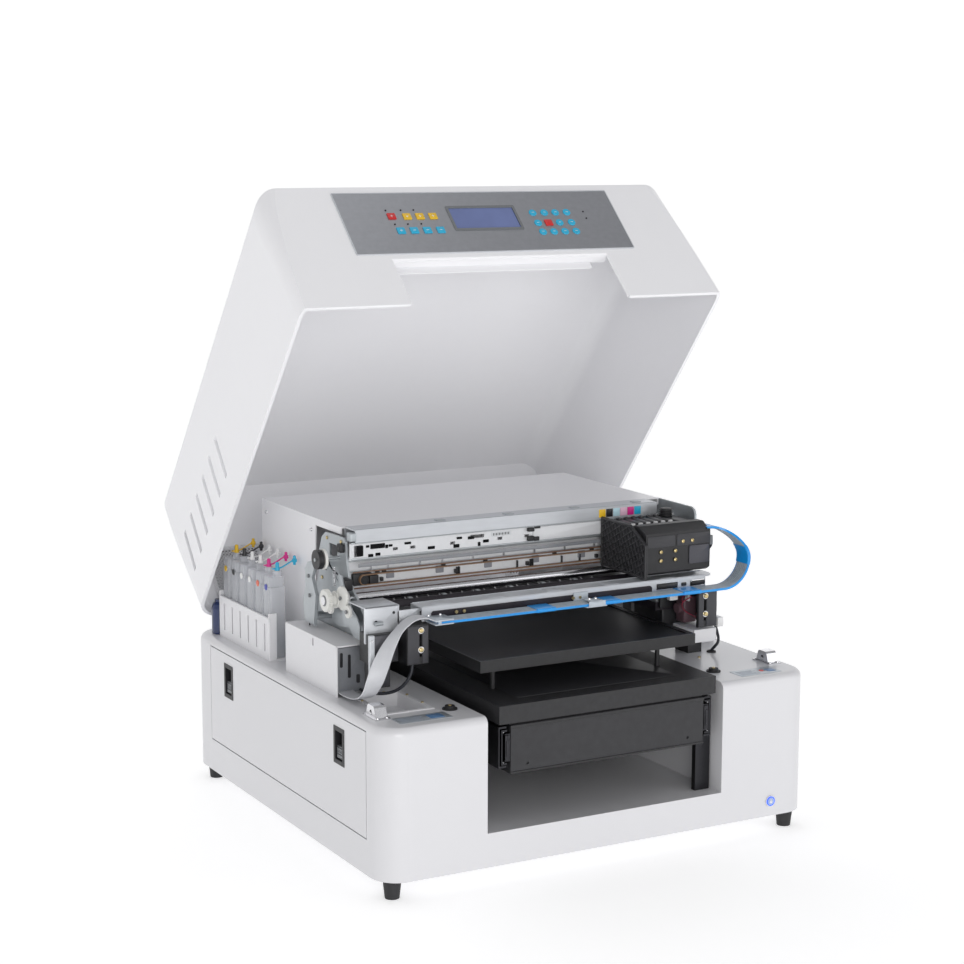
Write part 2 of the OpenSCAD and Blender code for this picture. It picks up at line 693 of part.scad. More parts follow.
module waste_bottle() color([0.08, 0.18, 0.36]) at(-368, 723, base_top) rotate_extrude()
    polygon([[0, 0], [14, 0], [15, 2], [15, 46], [13, 54], [9, 58], [9, 62], [0, 62]]);

// ---- hood ----------------------------------------------------------------------

hinge_depth = 782;
hinge_z = 290;
hinge_xs = [-250, 250];
pin_r = 3;
knuckle_r = 6;
rim_z = base_top + 2;
hood_front = 2;
hood_back = 762;
hood_top = rim_z + hood_h;
lean_slope = back_lean / hood_h;
function back_face(z) = hood_back - lean_slope * (z - rim_z);
function front_face(z) = hood_front - front_lean / hood_h * (z - rim_z);

// Turns a closed hood part up to the angle that it stands open
module hood_open() translate([0, front + hinge_depth, hinge_z]) rotate([-hood_angle, 0, 0])
    translate([0, -front - hinge_depth, -hinge_z]) children();

module hood_solid(t, drop) intersection() {
    profile_x(-half_w, half_w, [[front_face(rim_z - drop) + t, rim_z - drop],
        [back_face(rim_z - drop) - t, rim_z - drop],
        [back_face(hood_top - t) - t, hood_top - t], [front_face(hood_top - t) + t, hood_top - t]]);
    at(0, (hood_front + hood_back - front_lean) / 2, rim_z - drop) linear_extrude(hood_h + drop)
        round_rect(base_w - 2 * t, hood_back - hood_front + front_lean - 2 * t, corner_r - t);
    at(0, 900, rim_z - drop) rotate([90, 0, 0]) linear_extrude(1000)
        crown_profile(base_w - 2 * t, hood_h - t + drop, hood_r - t);
}

vent_holes = [for (k = [0:5]) 440 + 49 * k];
back_vent_x = [250, 344];
back_vent_z = [290, 400];
module hood_shell() color("white") hood_open() difference() {
    hood_solid(0, 0);
    hood_solid(hood_wall, 1);
    block([-notch_half, notch_half], [-60, 40], [rim_z - 1, rim_z + notch_h]);
    for (depth = vent_holes) profile_x(-half_w - 1, -half_w + hood_wall + 1,
        [[depth + 2, 330], [depth + 14, 330], [depth - 2, 408], [depth - 14, 408]]);
    for (side = [0, 1]) mirror([side, 0, 0]) block(back_vent_x, [700, 770], back_vent_z);
}

module vent_sheet() color([0.9, 0.9, 0.91]) hood_open() for (side = [0, 1]) mirror([side, 0, 0])
    profile_x(back_vent_x[0] - 8, back_vent_x[1] + 8, [for (p = [[0, 0], [0, 1], [1.5, 1], [1.5, 0]])
        let (z = back_vent_z[p[1]] + 12 * p[1] - 6) [back_face(z) - hood_wall - 0.2 - p[0], z]]);

// Places things on the hood's closed front wall: x, height above the rim, out from the wall
module on_front(x, height) hood_open() at(x, front_face(rim_z), rim_z)
    rotate([90 + atan(front_lean / hood_h), 0, 0]) translate([0, height, 0]) children();

plate_w = 532;
plate_h = 138;
plate_mid = 178;
module control_plate() color([0.72, 0.73, 0.75]) on_front(0, plate_mid)
    linear_extrude(1.5) difference() {
        square([plate_w, plate_h], center = true);
        translate([0, 8]) square([124, 48], center = true);
    }

module display() color([0.3, 0.38, 0.75]) on_front(0, plate_mid + 8)
    linear_extrude(1) square([123.6, 47.6], center = true);

module hinge_base_leaves() color("silver") for (x = hinge_xs) {
    difference() {
        union() {
            block([x - 30, x + 30], [base_d, base_d + 2.5], [226, hinge_z]);
            for (side = [-1, 1]) rod_x(x + side * 24 - 6, x + side * 24 + 6, hinge_depth, hinge_z, knuckle_r);
        }
        block([x - 18, x + 18], [base_d - 1, base_d + 20], [274, 300]);
        rod_x(x - 31, x + 31, hinge_depth, hinge_z, pin_r);
    }
    rod_x(x - 30, x + 30, hinge_depth, hinge_z, pin_r);
}

module hinge_hood_leaves() color("silver") hood_open() for (x = hinge_xs) difference() {
    union() {
        rod_x(x - 17, x + 17, hinge_depth, hinge_z, knuckle_r);
        profile_x(x - 17, x + 17, [[back_face(284), 284], [back_face(350), 350],
            [back_face(350) + 3, 350], [back_face(300) + 3, 300], [hinge_depth, 294], [hinge_depth, 285]]);
    }
    rod_x(x - 18, x + 18, hinge_depth, hinge_z, pin_r + fit);
}

// ---- nodes ---------------------------------------------------------------------

base_shell();
feet();
recess_tray();
hood_catches();
rubber_bumpers();
case_screws();
button_ring();
power_button();
mains_inlet();
power_supply();
main_board();
service_door();
latch_bezels();
front_latch();
rear_latch();
slide_outer_members();
slide_middle_members();
slide_inner_members();
table_carriage();
table_front_panel();
lift_motor();
platen();
platen_guides();
engine_mounts();
left_engine_frame();
right_engine_frame();
rear_frame_plate();
top_rail();
front_rail();
head_guard();
feed_roller();
feed_gear();
relay_wheel();
timing_belt();
drive_pulley();
idler_pulley();
drive_motors();
capping_station();
carriage_body();
ribbed_cover();
ink_dampers();
lamp_box();
print_head();
ink_band_lower();
ink_band_loop();
ink_band_upper();
ribbon_cable();
signal_leads();
electronics_cover();
rear_engine_cover();
ink_rack();
ink_tanks();
ink_stoppers();
waste_bottle();
hinge_base_leaves();
hinge_hood_leaves();
hood_shell();
vent_sheet();
control_plate();
display();
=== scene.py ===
"""Looks of a desktop flatbed UV printer: white cabinet, black sliding table and platen,
bare inkjet engine, ink tanks at the left, and a hood standing open with its control plate."""
import json
import math
import bpy
import numpy as np
from mathutils import Matrix, Vector


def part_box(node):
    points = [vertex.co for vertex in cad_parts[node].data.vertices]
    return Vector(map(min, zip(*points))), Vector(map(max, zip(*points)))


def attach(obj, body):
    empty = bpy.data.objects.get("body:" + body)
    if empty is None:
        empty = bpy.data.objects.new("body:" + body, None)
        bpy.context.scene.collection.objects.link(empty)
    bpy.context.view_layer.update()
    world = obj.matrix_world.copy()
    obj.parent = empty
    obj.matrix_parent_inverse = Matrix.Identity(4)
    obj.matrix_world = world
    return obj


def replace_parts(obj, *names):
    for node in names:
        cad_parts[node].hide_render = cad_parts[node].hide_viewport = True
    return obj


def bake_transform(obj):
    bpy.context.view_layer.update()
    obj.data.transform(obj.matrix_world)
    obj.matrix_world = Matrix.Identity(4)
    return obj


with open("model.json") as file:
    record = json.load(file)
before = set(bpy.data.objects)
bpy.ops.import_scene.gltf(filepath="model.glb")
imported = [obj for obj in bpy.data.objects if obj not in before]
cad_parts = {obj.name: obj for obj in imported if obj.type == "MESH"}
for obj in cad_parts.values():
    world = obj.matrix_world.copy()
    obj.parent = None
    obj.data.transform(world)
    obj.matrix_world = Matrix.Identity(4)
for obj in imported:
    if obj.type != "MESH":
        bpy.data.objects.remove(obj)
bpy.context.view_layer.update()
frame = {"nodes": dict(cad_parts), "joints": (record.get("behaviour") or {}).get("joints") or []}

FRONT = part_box("base_shell")[0][1]          # the cabinet's front face
hinge = next(j for j in frame["joints"] if j["name"] == "hood_hinge")
HINGE = np.array(hinge["pos_m"])
OPEN = math.radians(hinge["range_deg"][1])

# ---- places ----


def at(points):
    """Millimetres (x, depth behind the cabinet's front, height) turned into metres in the frame."""
    points = np.asarray(points, float)
    return points * 0.001 + np.array([0, FRONT, 0])


def opened(points):
    """Points of the shut hood, in metres, turned about the hinge to where it stands open."""
    c, s = math.cos(OPEN), math.sin(OPEN)
    p = np.asarray(points, float) - HINGE
    turned_back = np.stack([p[..., 0], c * p[..., 1] + s * p[..., 2], -s * p[..., 1] + c
        * p[..., 2]], -1)
    return turned_back + HINGE


RIM = 274.0                     # the hood's lower edge when shut
WALL = 262                      # the hood's walls, from the rim to where the roof's curve starts
LEAN = math.atan(22 / WALL)     # the front wall leans forward


def on_front(points):
    """(x, height above the rim, out from the wall) in mm on the shut hood's front wall, as opened
    metres: the wall leans forward by LEAN, so height runs along the leaning face and out is square
    to it."""
    p = np.asarray(points, float)
    depth = 2 - p[..., 1] * math.sin(LEAN) - p[..., 2] * math.cos(LEAN)
    high = RIM + p[..., 1] * math.cos(LEAN) - p[..., 2] * math.sin(LEAN)
    return opened(at(np.stack([p[..., 0], depth, high], -1)))


# ---- shapes: each gives (points in mm, faces) ----


def rounded(w, h, r, n=4):
    """Rectangle w by h centred on 0, its corners quarter circles of radius r, counter-clockwise."""
    r = min(r, 0.49 * min(w, h))
    a = np.linspace(0, math.pi / 2, n + 1)
    arc = np.stack([r * np.cos(a), r * np.sin(a)], 1)
    quarters = []
    for k, (sx, sy) in enumerate([(1, 1), (-1, 1), (-1, -1), (1, -1)]):
        c, s = round(math.cos(k * math.pi / 2)), round(math.sin(k * math.pi / 2))
        quarters.append(arc @ np.array([[c, s], [-s, c]]) + [sx * (w / 2 - r), sy * (h / 2 - r)])
    return np.concatenate(quarters)


def circle(r, n=24):
    """Circle of radius r as n points, counter-clockwise."""
    a = np.linspace(0, 2 * math.pi, n, endpoint=False)
    return np.stack([r * np.cos(a), r * np.sin(a)], 1)


def skin(rings, caps=True, loop=False):
    """Quads between closed rings (rows, points, 3); row i joins row i + 1, and flat faces close
    both ends."""
    rings = np.asarray(rings, float)
    rows, cols = rings.shape[:2]
    i = np.arange(rows if loop else rows - 1)[:, None]
    j = np.arange(cols)[None, :]
    a, b = i * cols, ((i + 1) % rows) * cols
    k = (j + 1) % cols
    quads = np.stack([a + j, a + k, b + k, b + j], -1).reshape(-1, 4).tolist()
    if caps and not loop:
        quads.append(list(range(cols))[::-1])
        quads.append(list(range((rows - 1) * cols, rows * cols)))
    return rings.reshape(-1, 3), quads


X, Y, Z = (1, 2, 0), (2, 0, 1), (0, 1, 2)       # where each axis puts (u, v, along)


def stand(local, centre, axis):
    """Local (u, v, along) points set on an axis: along x, u is depth and v height; along y, u is
    height and v x; along z, u is x and v depth."""
    out = np.empty_like(local)
    for source, target in enumerate(axis):
        out[..., target] = local[..., source]
    return out + np.asarray(centre, float)


def slab(lo, hi, axis=Z, corner=1.0, edge=0.6, n=3):
    """Block from lo to hi: a rounded rectangle carried along axis, drawn in by a quarter circle of
    radius edge at each end, so that every edge is soft."""
    lo, hi = np.minimum(lo, hi).astype(float), np.maximum(lo, hi).astype(float)
    size, centre = hi - lo, (lo + hi) / 2
    u, v, along = size[list(axis)]
    edge = min(edge, 0.45 * min(u, v), 0.45 * along)
    a = np.linspace(0, math.pi / 2, n)
    inset = np.concatenate([edge * (1 - np.sin(a)), edge * (1 - np.cos(a))])
    rise = np.concatenate([-along / 2 + edge * (1 - np.cos(a)), along / 2 - edge * (1 - np.sin(a))])
    rings = []
    for d, z in zip(inset, rise):
        flat = rounded(u - 2 * d, v - 2 * d, max(corner - d, 0.05))
        rings.append(level(flat, z))
    return skin(stand(np.array(rings), centre, axis))


def turned(profile, centre, axis=Z, n=28):
    """Profile of (radius, along) pairs turned a full circle about axis through centre."""
    profile = np.asarray(profile, float)
    a = np.linspace(0, 2 * math.pi, n, endpoint=False)
    rings = np.stack([profile[:, :1] * np.cos(a), profile[:, :1] * np.sin(a),
        np.repeat(profile[:, 1:], n, 1)], -1)
    return skin(stand(rings, centre, axis))


def rod(start, length, r, axis=X, edge=0.4, n=24):
    """Rod with its ends drawn in by edge."""
    e = min(edge, 0.4 * r, 0.4 * length)
    return turned([(r - e, 0), (r, e), (r, length - e), (r - e, length)], start, axis, n)


def slabs(*rows):
    """Slabs from rows of (low, high, axis, corner, edge)."""
    return [slab(*row) for row in rows]


def heads(spots, axis, n, foot, top, high, peak):
    """Round heads of n sides: radius foot at the spot, radius top at height high, then to peak."""
    profile = [(0.1, 0), (foot, 0), (top, high), (0.1, peak)]
    return [turned(profile, spot, axis, n) for spot in spots]


def level(flat, z):
    """Points (u, v) given a third coordinate z."""
    return np.column_stack([flat, np.full(len(flat), z)])


def flipped(part):
    """The same surface facing the other way."""
    return part[0], [f[::-1] for f in part[1]]


def unit(rows):
    """Rows scaled to length 1."""
    return rows / np.linalg.norm(rows, axis=1, keepdims=True)


def frames(path):
    """Unit tangents of a path, and two unit normals carried along it without twist."""
    t = unit(np.gradient(path, axis=0))
    u = np.cross(t[0], [0, 0, 1.0])
    if np.linalg.norm(u) < 0.1:
        u = np.cross(t[0], [0, 1.0, 0])
    sides = [u / np.linalg.norm(u)]
    for row in t[1:]:
        u = sides[-1] - row * (sides[-1] @ row)
        sides.append(u / np.linalg.norm(u))
    u = np.array(sides)
    return t, u, np.cross(t, u)


def tube(path, r, n=10):
    """Circle of radius r carried square along a path."""
    path = np.asarray(path, float)
    t, u, v = frames(path)
    ring = circle(1.0, n)
    r = np.broadcast_to(r, len(path))[:, None, None]
    return skin(path[:, None] + r * (ring[None, :, :1] * u[:, None] + ring[None, :, 1:]
        * v[:, None]))


def strip(path, across, outline):
    """Flat outline (wide, thick) carried along a path, its wide side along across at each row."""
    path, across = np.asarray(path, float), np.asarray(across, float)
    t = unit(np.gradient(path, axis=0))
    w = unit(across - t * np.sum(across * t, 1, keepdims=True))
    n = np.cross(t, w)
    return skin(path[:, None] + outline[None, :, :1] * w[:, None] + outline[None, :, 1:]
        * n[:, None])


def curve(points, rows=60):
    """Smooth path through points: Catmull-Rom pieces sampled evenly in parameter."""
    p = np.asarray(points, float)
    p = np.vstack([2 * p[0] - p[1], p, 2 * p[-1] - p[-2]])
    s = np.linspace(0, len(p) - 3 - 1e-9, rows)
    k = s.astype(int)
    u = (s - k)[:, None]
    a, b, c, d = p[k], p[k + 1], p[k + 2], p[k + 3]
    return 0.5 * (2 * b + (c - a) * u + (2 * a - 5 * b + 4 * c - d) * u ** 2 + (3 * b - 3 * c + d
        - a) * u ** 3)


def plate(outline, thickness, centre, axis=Y):
    """Flat outline (u, v) given a thickness along axis, from centre."""
    outline = np.asarray(outline, float)
    ends = [level(outline, z) for z in (0.0, thickness)]
    return skin(stand(np.array(ends), centre, axis))


def holed_sheet(us, vs, r, place, thickness, n):
    """Sheet of square cells, each with a round hole of radius r: a ring of quads runs from each
    cell's square edge to its circle on both faces, and a wall joins the two circles. place maps (u,
    v, out)."""
    a = (np.arange(n) + 0.5) * 2 * math.pi / n
    c, s = np.cos(a), np.sin(a)
    reach = 1 / np.maximum(np.abs(c), np.abs(s))
    du, dv = us[1] - us[0], vs[1] - vs[0]
    hole = np.stack([r * c, r * s], 1)
    square = np.stack([du / 2 * c * reach, dv / 2 * s * reach], 1)
    gu, gv = np.meshgrid((us[:-1] + us[1:]) / 2, (vs[:-1] + vs[1:]) / 2)
    centres = np.stack([gu.ravel(), gv.ravel()], 1)
    rings = []
    for shape, out in ((square, 0.0), (hole, 0.0), (hole, thickness), (square, thickness)):
        flat = centres[:, None] + shape[None]
        rings.append(np.concatenate([flat, np.full(flat.shape[:2] + (1,), out)], -1))
    points = np.stack(rings, 1)                        # cells, rings, n, 3
    cells = len(centres)
    base = (np.arange(cells) * 4 * n)[:, None, None]
    ring = np.arange(4)[None, :, None]
    j = np.arange(n)[None, None, :]
    k = (j + 1) % n
    nxt = (ring + 1) % 4
    quads = np.stack([base + ring * n + j, base + ring * n + k, base + nxt * n + k, base + nxt * n
        + j], -1)
    return place(points.reshape(-1, 3)), quads.reshape(-1, 4)[:, ::-1].tolist()


# ---- finishes ----


def fill(node, values):
    """Sets inputs of a shader node, by name or number."""
    for key, value in values.items():
        node.inputs[key].default_value = value
    return node


BROADER = 14                # how much larger the second noise is than the first
GRAIN_DEPTH = 0.0004        # metres that the surface rises by where the noise is full
COAT_ROUGH = 0.06


def finish(name, colour, rough, metal=0.0, scale=300.0, mottle=0.04, grain=0.08, bump=0.0,
           stretch=(1, 1, 1), coat=0.0, alpha=1.0, glow=None, specular=0.5):
    """Surface whose colour, roughness and height wander with a noise on the object's own
    coordinates: mottle is the share that the colour changes by, grain that of the roughness, and
    stretch draws the noise out along an axis, as brushing does."""
    m = bpy.data.materials.new(name)
    m.use_nodes = True
    m.diffuse_color = (*colour, 1)
    nodes, link = m.node_tree.nodes, m.node_tree.links.new
    bsdf = nodes["Principled BSDF"]

    def add(kind, values):
        return fill(nodes.new("ShaderNode" + kind), values)

    where = add("TexCoord", {}).outputs["Object"]
    mapping = add("Mapping", {"Scale": stretch})
    noise = add("TexNoise", {"Scale": scale, "Detail": 4.0})
    broad = add("TexNoise", {"Scale": scale / BROADER, "Detail": 2.0})
    both = add("Math", {})
    both.operation = "ADD"
    ramp = add("MapRange", {"From Min": 0.6, "From Max": 1.4})
    mix = add("Mix", {})
    mix.data_type = "RGBA"
    dark = [c * (1 - mottle) for c in colour]
    light = [min(1.0, c * (1 + mottle)) for c in colour]
    fill(mix, {6: (*dark, 1), 7: (*light, 1)})
    shine = add("MapRange", {"To Min": max(0.02, rough * (1 - grain)),
        "To Max": min(1.0, rough * (1 + grain))})
    link(where, mapping.inputs["Vector"])
    link(mapping.outputs["Vector"], noise.inputs["Vector"])
    link(where, broad.inputs["Vector"])
    link(noise.outputs["Fac"], both.inputs[0])
    link(broad.outputs["Fac"], both.inputs[1])
    link(both.outputs[0], ramp.inputs["Value"])
    link(ramp.outputs[0], mix.inputs[0])
    link(mix.outputs[2], bsdf.inputs["Base Color"])
    link(noise.outputs["Fac"], shine.inputs["Value"])
    link(shine.outputs[0], bsdf.inputs["Roughness"])
    if bump:
        height = add("Bump", {"Strength": bump, "Distance": GRAIN_DEPTH})
        link(noise.outputs["Fac"], height.inputs["Height"])
        link(height.outputs["Normal"], bsdf.inputs["Normal"])
    fill(bsdf, {"Metallic": metal, "Specular IOR Level": specular})
    if coat:
        fill(bsdf, {"Coat Weight": coat, "Coat Roughness": COAT_ROUGH})
    if alpha < 1:
        fill(bsdf, {"Alpha": alpha})
        m.surface_render_method = "BLENDED"
    if glow:
        fill(bsdf, {"Emission Color": (*glow[:3], 1), "Emission Strength": glow[3]})
    return m


white_gloss = finish("white_gloss_shell", (0.69, 0.69, 0.71), 0.3, scale=40, mottle=0.006,
    grain=0.06, coat=0.2)
# The shell's white gloss, painted brighter in a copy of its own to make up for the shade inside the
# open hood: painted light.
white_gloss_painted_brighter = finish("white_gloss_hood_painted_brighter", (0.87, 0.87, 0.89), 0.34, scale=40, mottle=0.006,
    grain=0.06, coat=0.1)
white_door = finish("white_door_sheet", (0.69, 0.69, 0.71), 0.34, scale=50, mottle=0.006,
    grain=0.06, coat=0.15)
white_coat = finish("white_powder_coat", (0.75, 0.75, 0.77), 0.45, scale=900, mottle=0.012,
    grain=0.1, bump=0.05)
rubber = finish("foot_rubber", (0.018, 0.018, 0.02), 0.62, scale=500, mottle=0.2, bump=0.25)
chrome = finish("polished_chrome", (0.72, 0.72, 0.74), 0.16, metal=1.0, mottle=0.03, grain=0.3)
brass = finish("zinc_yellow_screw", (0.62, 0.5, 0.26), 0.3, metal=1.0, scale=500, mottle=0.12,
    grain=0.2, bump=0.1)
black_matte = finish("black_moulding", (0.014, 0.014, 0.016), 0.45, scale=700, mottle=0.25,
    grain=0.15, bump=0.2)
black_soft = finish("black_damper_moulding", (0.02, 0.02, 0.023), 0.36, scale=700, mottle=0.25,
    grain=0.15, bump=0.15)
black_coat = finish("black_powder_coat", (0.017, 0.017, 0.019), 0.42, scale=1400, mottle=0.3,
    grain=0.15, bump=0.35)
platen_coat = finish("black_anodised_platen", (0.012, 0.012, 0.0135), 0.38, scale=1600, mottle=0.3,
    grain=0.2, bump=0.25)
panel_coat = finish("charcoal_panel", (0.022, 0.022, 0.025), 0.4, scale=1200, mottle=0.25,
    grain=0.12, bump=0.3)
galvanised = finish("galvanised_sheet", (0.44, 0.47, 0.49), 0.38, metal=0.6, scale=140, mottle=0.1,
    grain=0.3, bump=0.04)
bright_plate = finish("bright_plated_steel", (0.58, 0.6, 0.63), 0.34, metal=0.45, scale=160,
    mottle=0.06, grain=0.25, stretch=(0.15, 1, 1), bump=0.03)
slide_dark = finish("black_zinc_slide", (0.05, 0.05, 0.055), 0.35, metal=1.0, scale=260,
    mottle=0.12, grain=0.3)
brushed_panel = finish("brushed_control_plate", (0.42, 0.43, 0.46), 0.34, metal=0.9, scale=1500,
    mottle=0.06, grain=0.2, stretch=(0.02, 1, 1), bump=0.08)
guard_dark = finish("dark_guard_sheet", (0.022, 0.018, 0.024), 0.3, metal=0.3, scale=400,
    mottle=0.2, grain=0.2)
gear_white = finish("acetal_white", (0.74, 0.74, 0.71), 0.4, mottle=0.03, grain=0.1)
belt_brown = finish("belt_rubber", (0.24, 0.14, 0.08), 0.6, scale=500, mottle=0.15, bump=0.2)
motor_grey = finish("motor_can", (0.08, 0.08, 0.09), 0.34, metal=0.7, scale=200, mottle=0.1,
    grain=0.2)
board_green = finish("circuit_board", (0.02, 0.12, 0.05), 0.4, mottle=0.3)
psu_metal = finish("power_supply_case", (0.5, 0.5, 0.51), 0.35, metal=1.0, scale=200, mottle=0.08,
    stretch=(1, 0.1, 1))
# The band's own blue, painted brighter to make up for the shade the sleeves sit in: partly real
# colour, partly painted light.
blue_tape_brightened = finish("blue_band_tape_brightened", (0.003, 0.29, 0.76), 0.32, scale=220, mottle=0.12, grain=0.2,
    bump=0.1, coat=0.3)
tube_grey = finish("ink_tube_grey", (0.32, 0.37, 0.42), 0.25, scale=120, mottle=0.2, grain=0.2,
    coat=0.3)
clear_clip = finish("clear_clip", (0.62, 0.68, 0.74), 0.18, scale=120, mottle=0.05, alpha=0.75)
ribbon_white = finish("flat_cable", (0.62, 0.63, 0.66), 0.38, scale=900, mottle=0.06, bump=0.1)
lead_black = finish("lead_jacket", (0.02, 0.022, 0.03), 0.45, scale=500, mottle=0.2)
tank_clear = finish("tank_milky", (0.74, 0.76, 0.8), 0.2, scale=60, mottle=0.05, grain=0.2,
    coat=0.4, alpha=0.34)
display_glass = finish("display_glass", (0.08, 0.11, 0.24), 0.12, scale=20, mottle=0.2, coat=0.8,
    glow=(0.16, 0.2, 0.42, 0.3))
bottle_blue = finish("dark_blue_bottle", (0.006, 0.02, 0.09), 0.25, scale=120, mottle=0.1, coat=0.5)
ring_blue = finish("blue_ring_light", (0.02, 0.06, 0.6), 0.3, scale=100,
    glow=(0.03, 0.12, 1.0, 1.2))
paper = finish("paper_label", (0.68, 0.70, 0.72), 0.5, scale=500, mottle=0.05)
label_silver = finish("foil_label", (0.5, 0.54, 0.58), 0.35, metal=0.6, mottle=0.12)
film = finish("encoder_film", (0.24, 0.25, 0.27), 0.2, scale=900, mottle=0.1, stretch=(8, 1, 1),
    coat=0.5)
# The rear frame plate's plated steel, painted brighter in a copy of its own to make up for the
# shade on its lower part: painted light.
sheet_painted_brighter = finish("plated_sheet_painted_brighter", (0.74, 0.75, 0.77), 0.36, metal=0.1, scale=160,
    mottle=0.05, grain=0.2)
strip_brown = finish("brown_guide_strip", (0.17, 0.085, 0.045), 0.35, mottle=0.15, coat=0.3)


def plain(name, colour, rough=0.35, coat=0.2):
    """Finish of a small coloured moulding."""
    return finish(name, colour, rough, mottle=0.06, grain=0.1, coat=coat)


red = plain("key_red", (0.62, 0.02, 0.02))
yellow = plain("key_yellow", (0.80, 0.50, 0.02))
cyan = plain("key_cyan", (0.02, 0.42, 0.66))
magenta = plain("magenta_moulding", (0.66, 0.02, 0.25))
pure_white = plain("white_moulding", (0.78, 0.78, 0.78))
ink_black = plain("ink_black", (0.015, 0.015, 0.018))
orange = plain("ink_orange", (0.72, 0.10, 0.03))
blue = plain("ink_blue", (0.01, 0.02, 0.34))
grey_moulding = plain("grey_moulding", (0.16, 0.17, 0.18))
pale_rim = finish("key_pale_rim", (0.55, 0.57, 0.6), 0.35, scale=200, mottle=0.05)

# ---- making pieces ----


def make(name, parts, look, body, slot=None, place=at, sharp=32):
    """One mesh of all the parts, in place, smooth but for edges sharper than sharp degrees."""
    points, faces, start = [], [], 0
    for part_points, part_faces in parts:
        points.append(np.asarray(part_points, float))
        faces += [[v + start for v in face] for face in part_faces]
        start += len(part_points)
    where = place(np.concatenate(points)) if place else np.concatenate(points)
    mesh = bpy.data.meshes.new(name)
    mesh.from_pydata(where.tolist(), [], faces)
    mesh.validate()
    mesh.shade_smooth()
    mesh.set_sharp_from_angle(angle=math.radians(sharp))
    mesh.materials.append(look)
    ob = bpy.data.objects.new(name, mesh)
    bpy.context.scene.collection.objects.link(ob)
    if body:
        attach(ob, body)
    return ob


def fixed(name, parts, look, slot, **more):
    """A piece that stays with the cabinet."""
    return make(name, parts, look, "cabinet", slot, **more)


def on_plate(name, parts, look, slot="panel_metal"):
    """A piece on the hood's control plate."""
    make(name, parts, look, "hood", slot, on_front)


def riding(name, parts, look, slot, **more):
    """A piece that rides on the print carriage."""
    return make(name, parts, look, "print_carriage", slot, **more)


def dress(look, *names):
    """Gives CAD nodes a finish."""
    for name in names:
        ob = frame["nodes"][name]
        ob.data.materials.clear()
        ob.data.materials.append(look)


dress(white_gloss, "base_shell")
dress(white_gloss_painted_brighter, "hood_shell", "rear_engine_cover")
dress(white_door, "service_door")
dress(white_coat, "recess_tray", "electronics_cover", "ink_rack", "vent_sheet")
dress(rubber, "feet", "rubber_bumpers")
dress(chrome, "hood_catches", "button_ring", "feed_roller")
dress(brass, "case_screws")
dress(plain("button_face", (0.35, 0.45, 0.75)), "power_button")
dress(black_matte, "mains_inlet", "latch_bezels", "relay_wheel", "idler_pulley", "platen_guides")
dress(grey_moulding, "front_latch", "rear_latch")
dress(psu_metal, "power_supply")
dress(board_green, "main_board")
dress(slide_dark, "slide_outer_members", "slide_middle_members", "slide_inner_members")
dress(black_coat, "table_carriage", "engine_mounts")
dress(panel_coat, "table_front_panel")
dress(platen_coat, "platen")
dress(motor_grey, "lift_motor", "drive_motors", "print_head")
dress(galvanised, "left_engine_frame", "right_engine_frame", "hinge_base_leaves",
    "hinge_hood_leaves")
dress(sheet_painted_brighter, "rear_frame_plate")
dress(bright_plate, "top_rail", "front_rail")
dress(guard_dark, "head_guard", "capping_station")
dress(gear_white, "feed_gear", "drive_pulley")
dress(belt_brown, "timing_belt")
dress(black_soft, "carriage_body", "ribbed_cover", "ink_dampers")
dress(black_matte, "lamp_box")
dress(blue_tape_brightened, "ink_band_lower", "ink_band_loop", "ink_band_upper")
dress(ribbon_white, "ribbon_cable")
dress(lead_black, "signal_leads")
dress(tank_clear, "ink_tanks")
dress(magenta, "ink_stoppers")
dress(bottle_blue, "waste_bottle")
dress(brushed_panel, "control_plate")
dress(display_glass, "display")

# ---- stage and camera ----


def stage():
    """A pale floor that curves up behind, three soft lights, and air that dims from the horizon up
    to overhead."""
    back, bend = 4.5, 2.0           # where the floor starts to curve up, and its radius
    arc = [[back + bend * math.sin(a), bend - bend * math.cos(a)]
        for a in np.linspace(0.1, 1.5, 12)]
    rows = np.concatenate([[[-9.0, 0.0], [back, 0.0]], arc, [[back + bend, 8.0]]])
    side = np.array([-12.0, 12.0])
    points = np.array([[x, y, z] for y, z in rows for x in side])
    faces = [[2 * k, 2 * k + 1, 2 * k + 3, 2 * k + 2] for k in range(len(rows) - 1)]
    floor = make("studio_floor", [(points, faces)], finish("studio_floor_paint", (0.9, 0.9, 0.9),
        0.8, scale=3, mottle=0.004, glow=(1, 1, 1, 0.42), specular=0.1), None, place=None, sharp=80)
    middle = Vector((0, 0, 0.5))    # what the lights are turned to
    for name, place, size, power, colour in [
        ("key_light", (-1.4, -4.4, 0.9), 2.2, 66, (1.0, 0.99, 0.98)),
        ("fill_light", (3.0, -3.4, 1.3), 2.4, 18, (0.97, 0.98, 1.0)),
        ("top_light", (0.2, 0.6, 4.6), 3.0, 14, (1.0, 1.0, 1.0))]:
        light = bpy.data.lights.new(name, "AREA")
        light.size = size
        light.energy = power
        light.color = colour
        ob = bpy.data.objects.new(name, light)
        ob.location = place
        ob.rotation_euler = (middle - ob.location).to_track_quat("-Z", "Y").to_euler()
        bpy.context.scene.collection.objects.link(ob)
    world = bpy.data.worlds.new("studio_air")
    world.use_nodes = True
    nt = world.node_tree
    place = nt.nodes.new("ShaderNodeTexCoord")
    split = nt.nodes.new("ShaderNodeSeparateXYZ")
    fade = nt.nodes.new("ShaderNodeMapRange")
    fill(fade, {"To Min": 0.70, "To Max": 0.34})
    nt.links.new(place.outputs["Generated"], split.inputs[0])
    nt.links.new(split.outputs["Z"], fade.inputs["Value"])
    nt.links.new(fade.outputs[0], nt.nodes["Background"].inputs["Strength"])
    fill(nt.nodes["Background"], {"Color": (0.985, 0.985, 1.0, 1)})
    bpy.context.scene.world = world
    bpy.context.scene.view_settings.view_transform = "Standard"


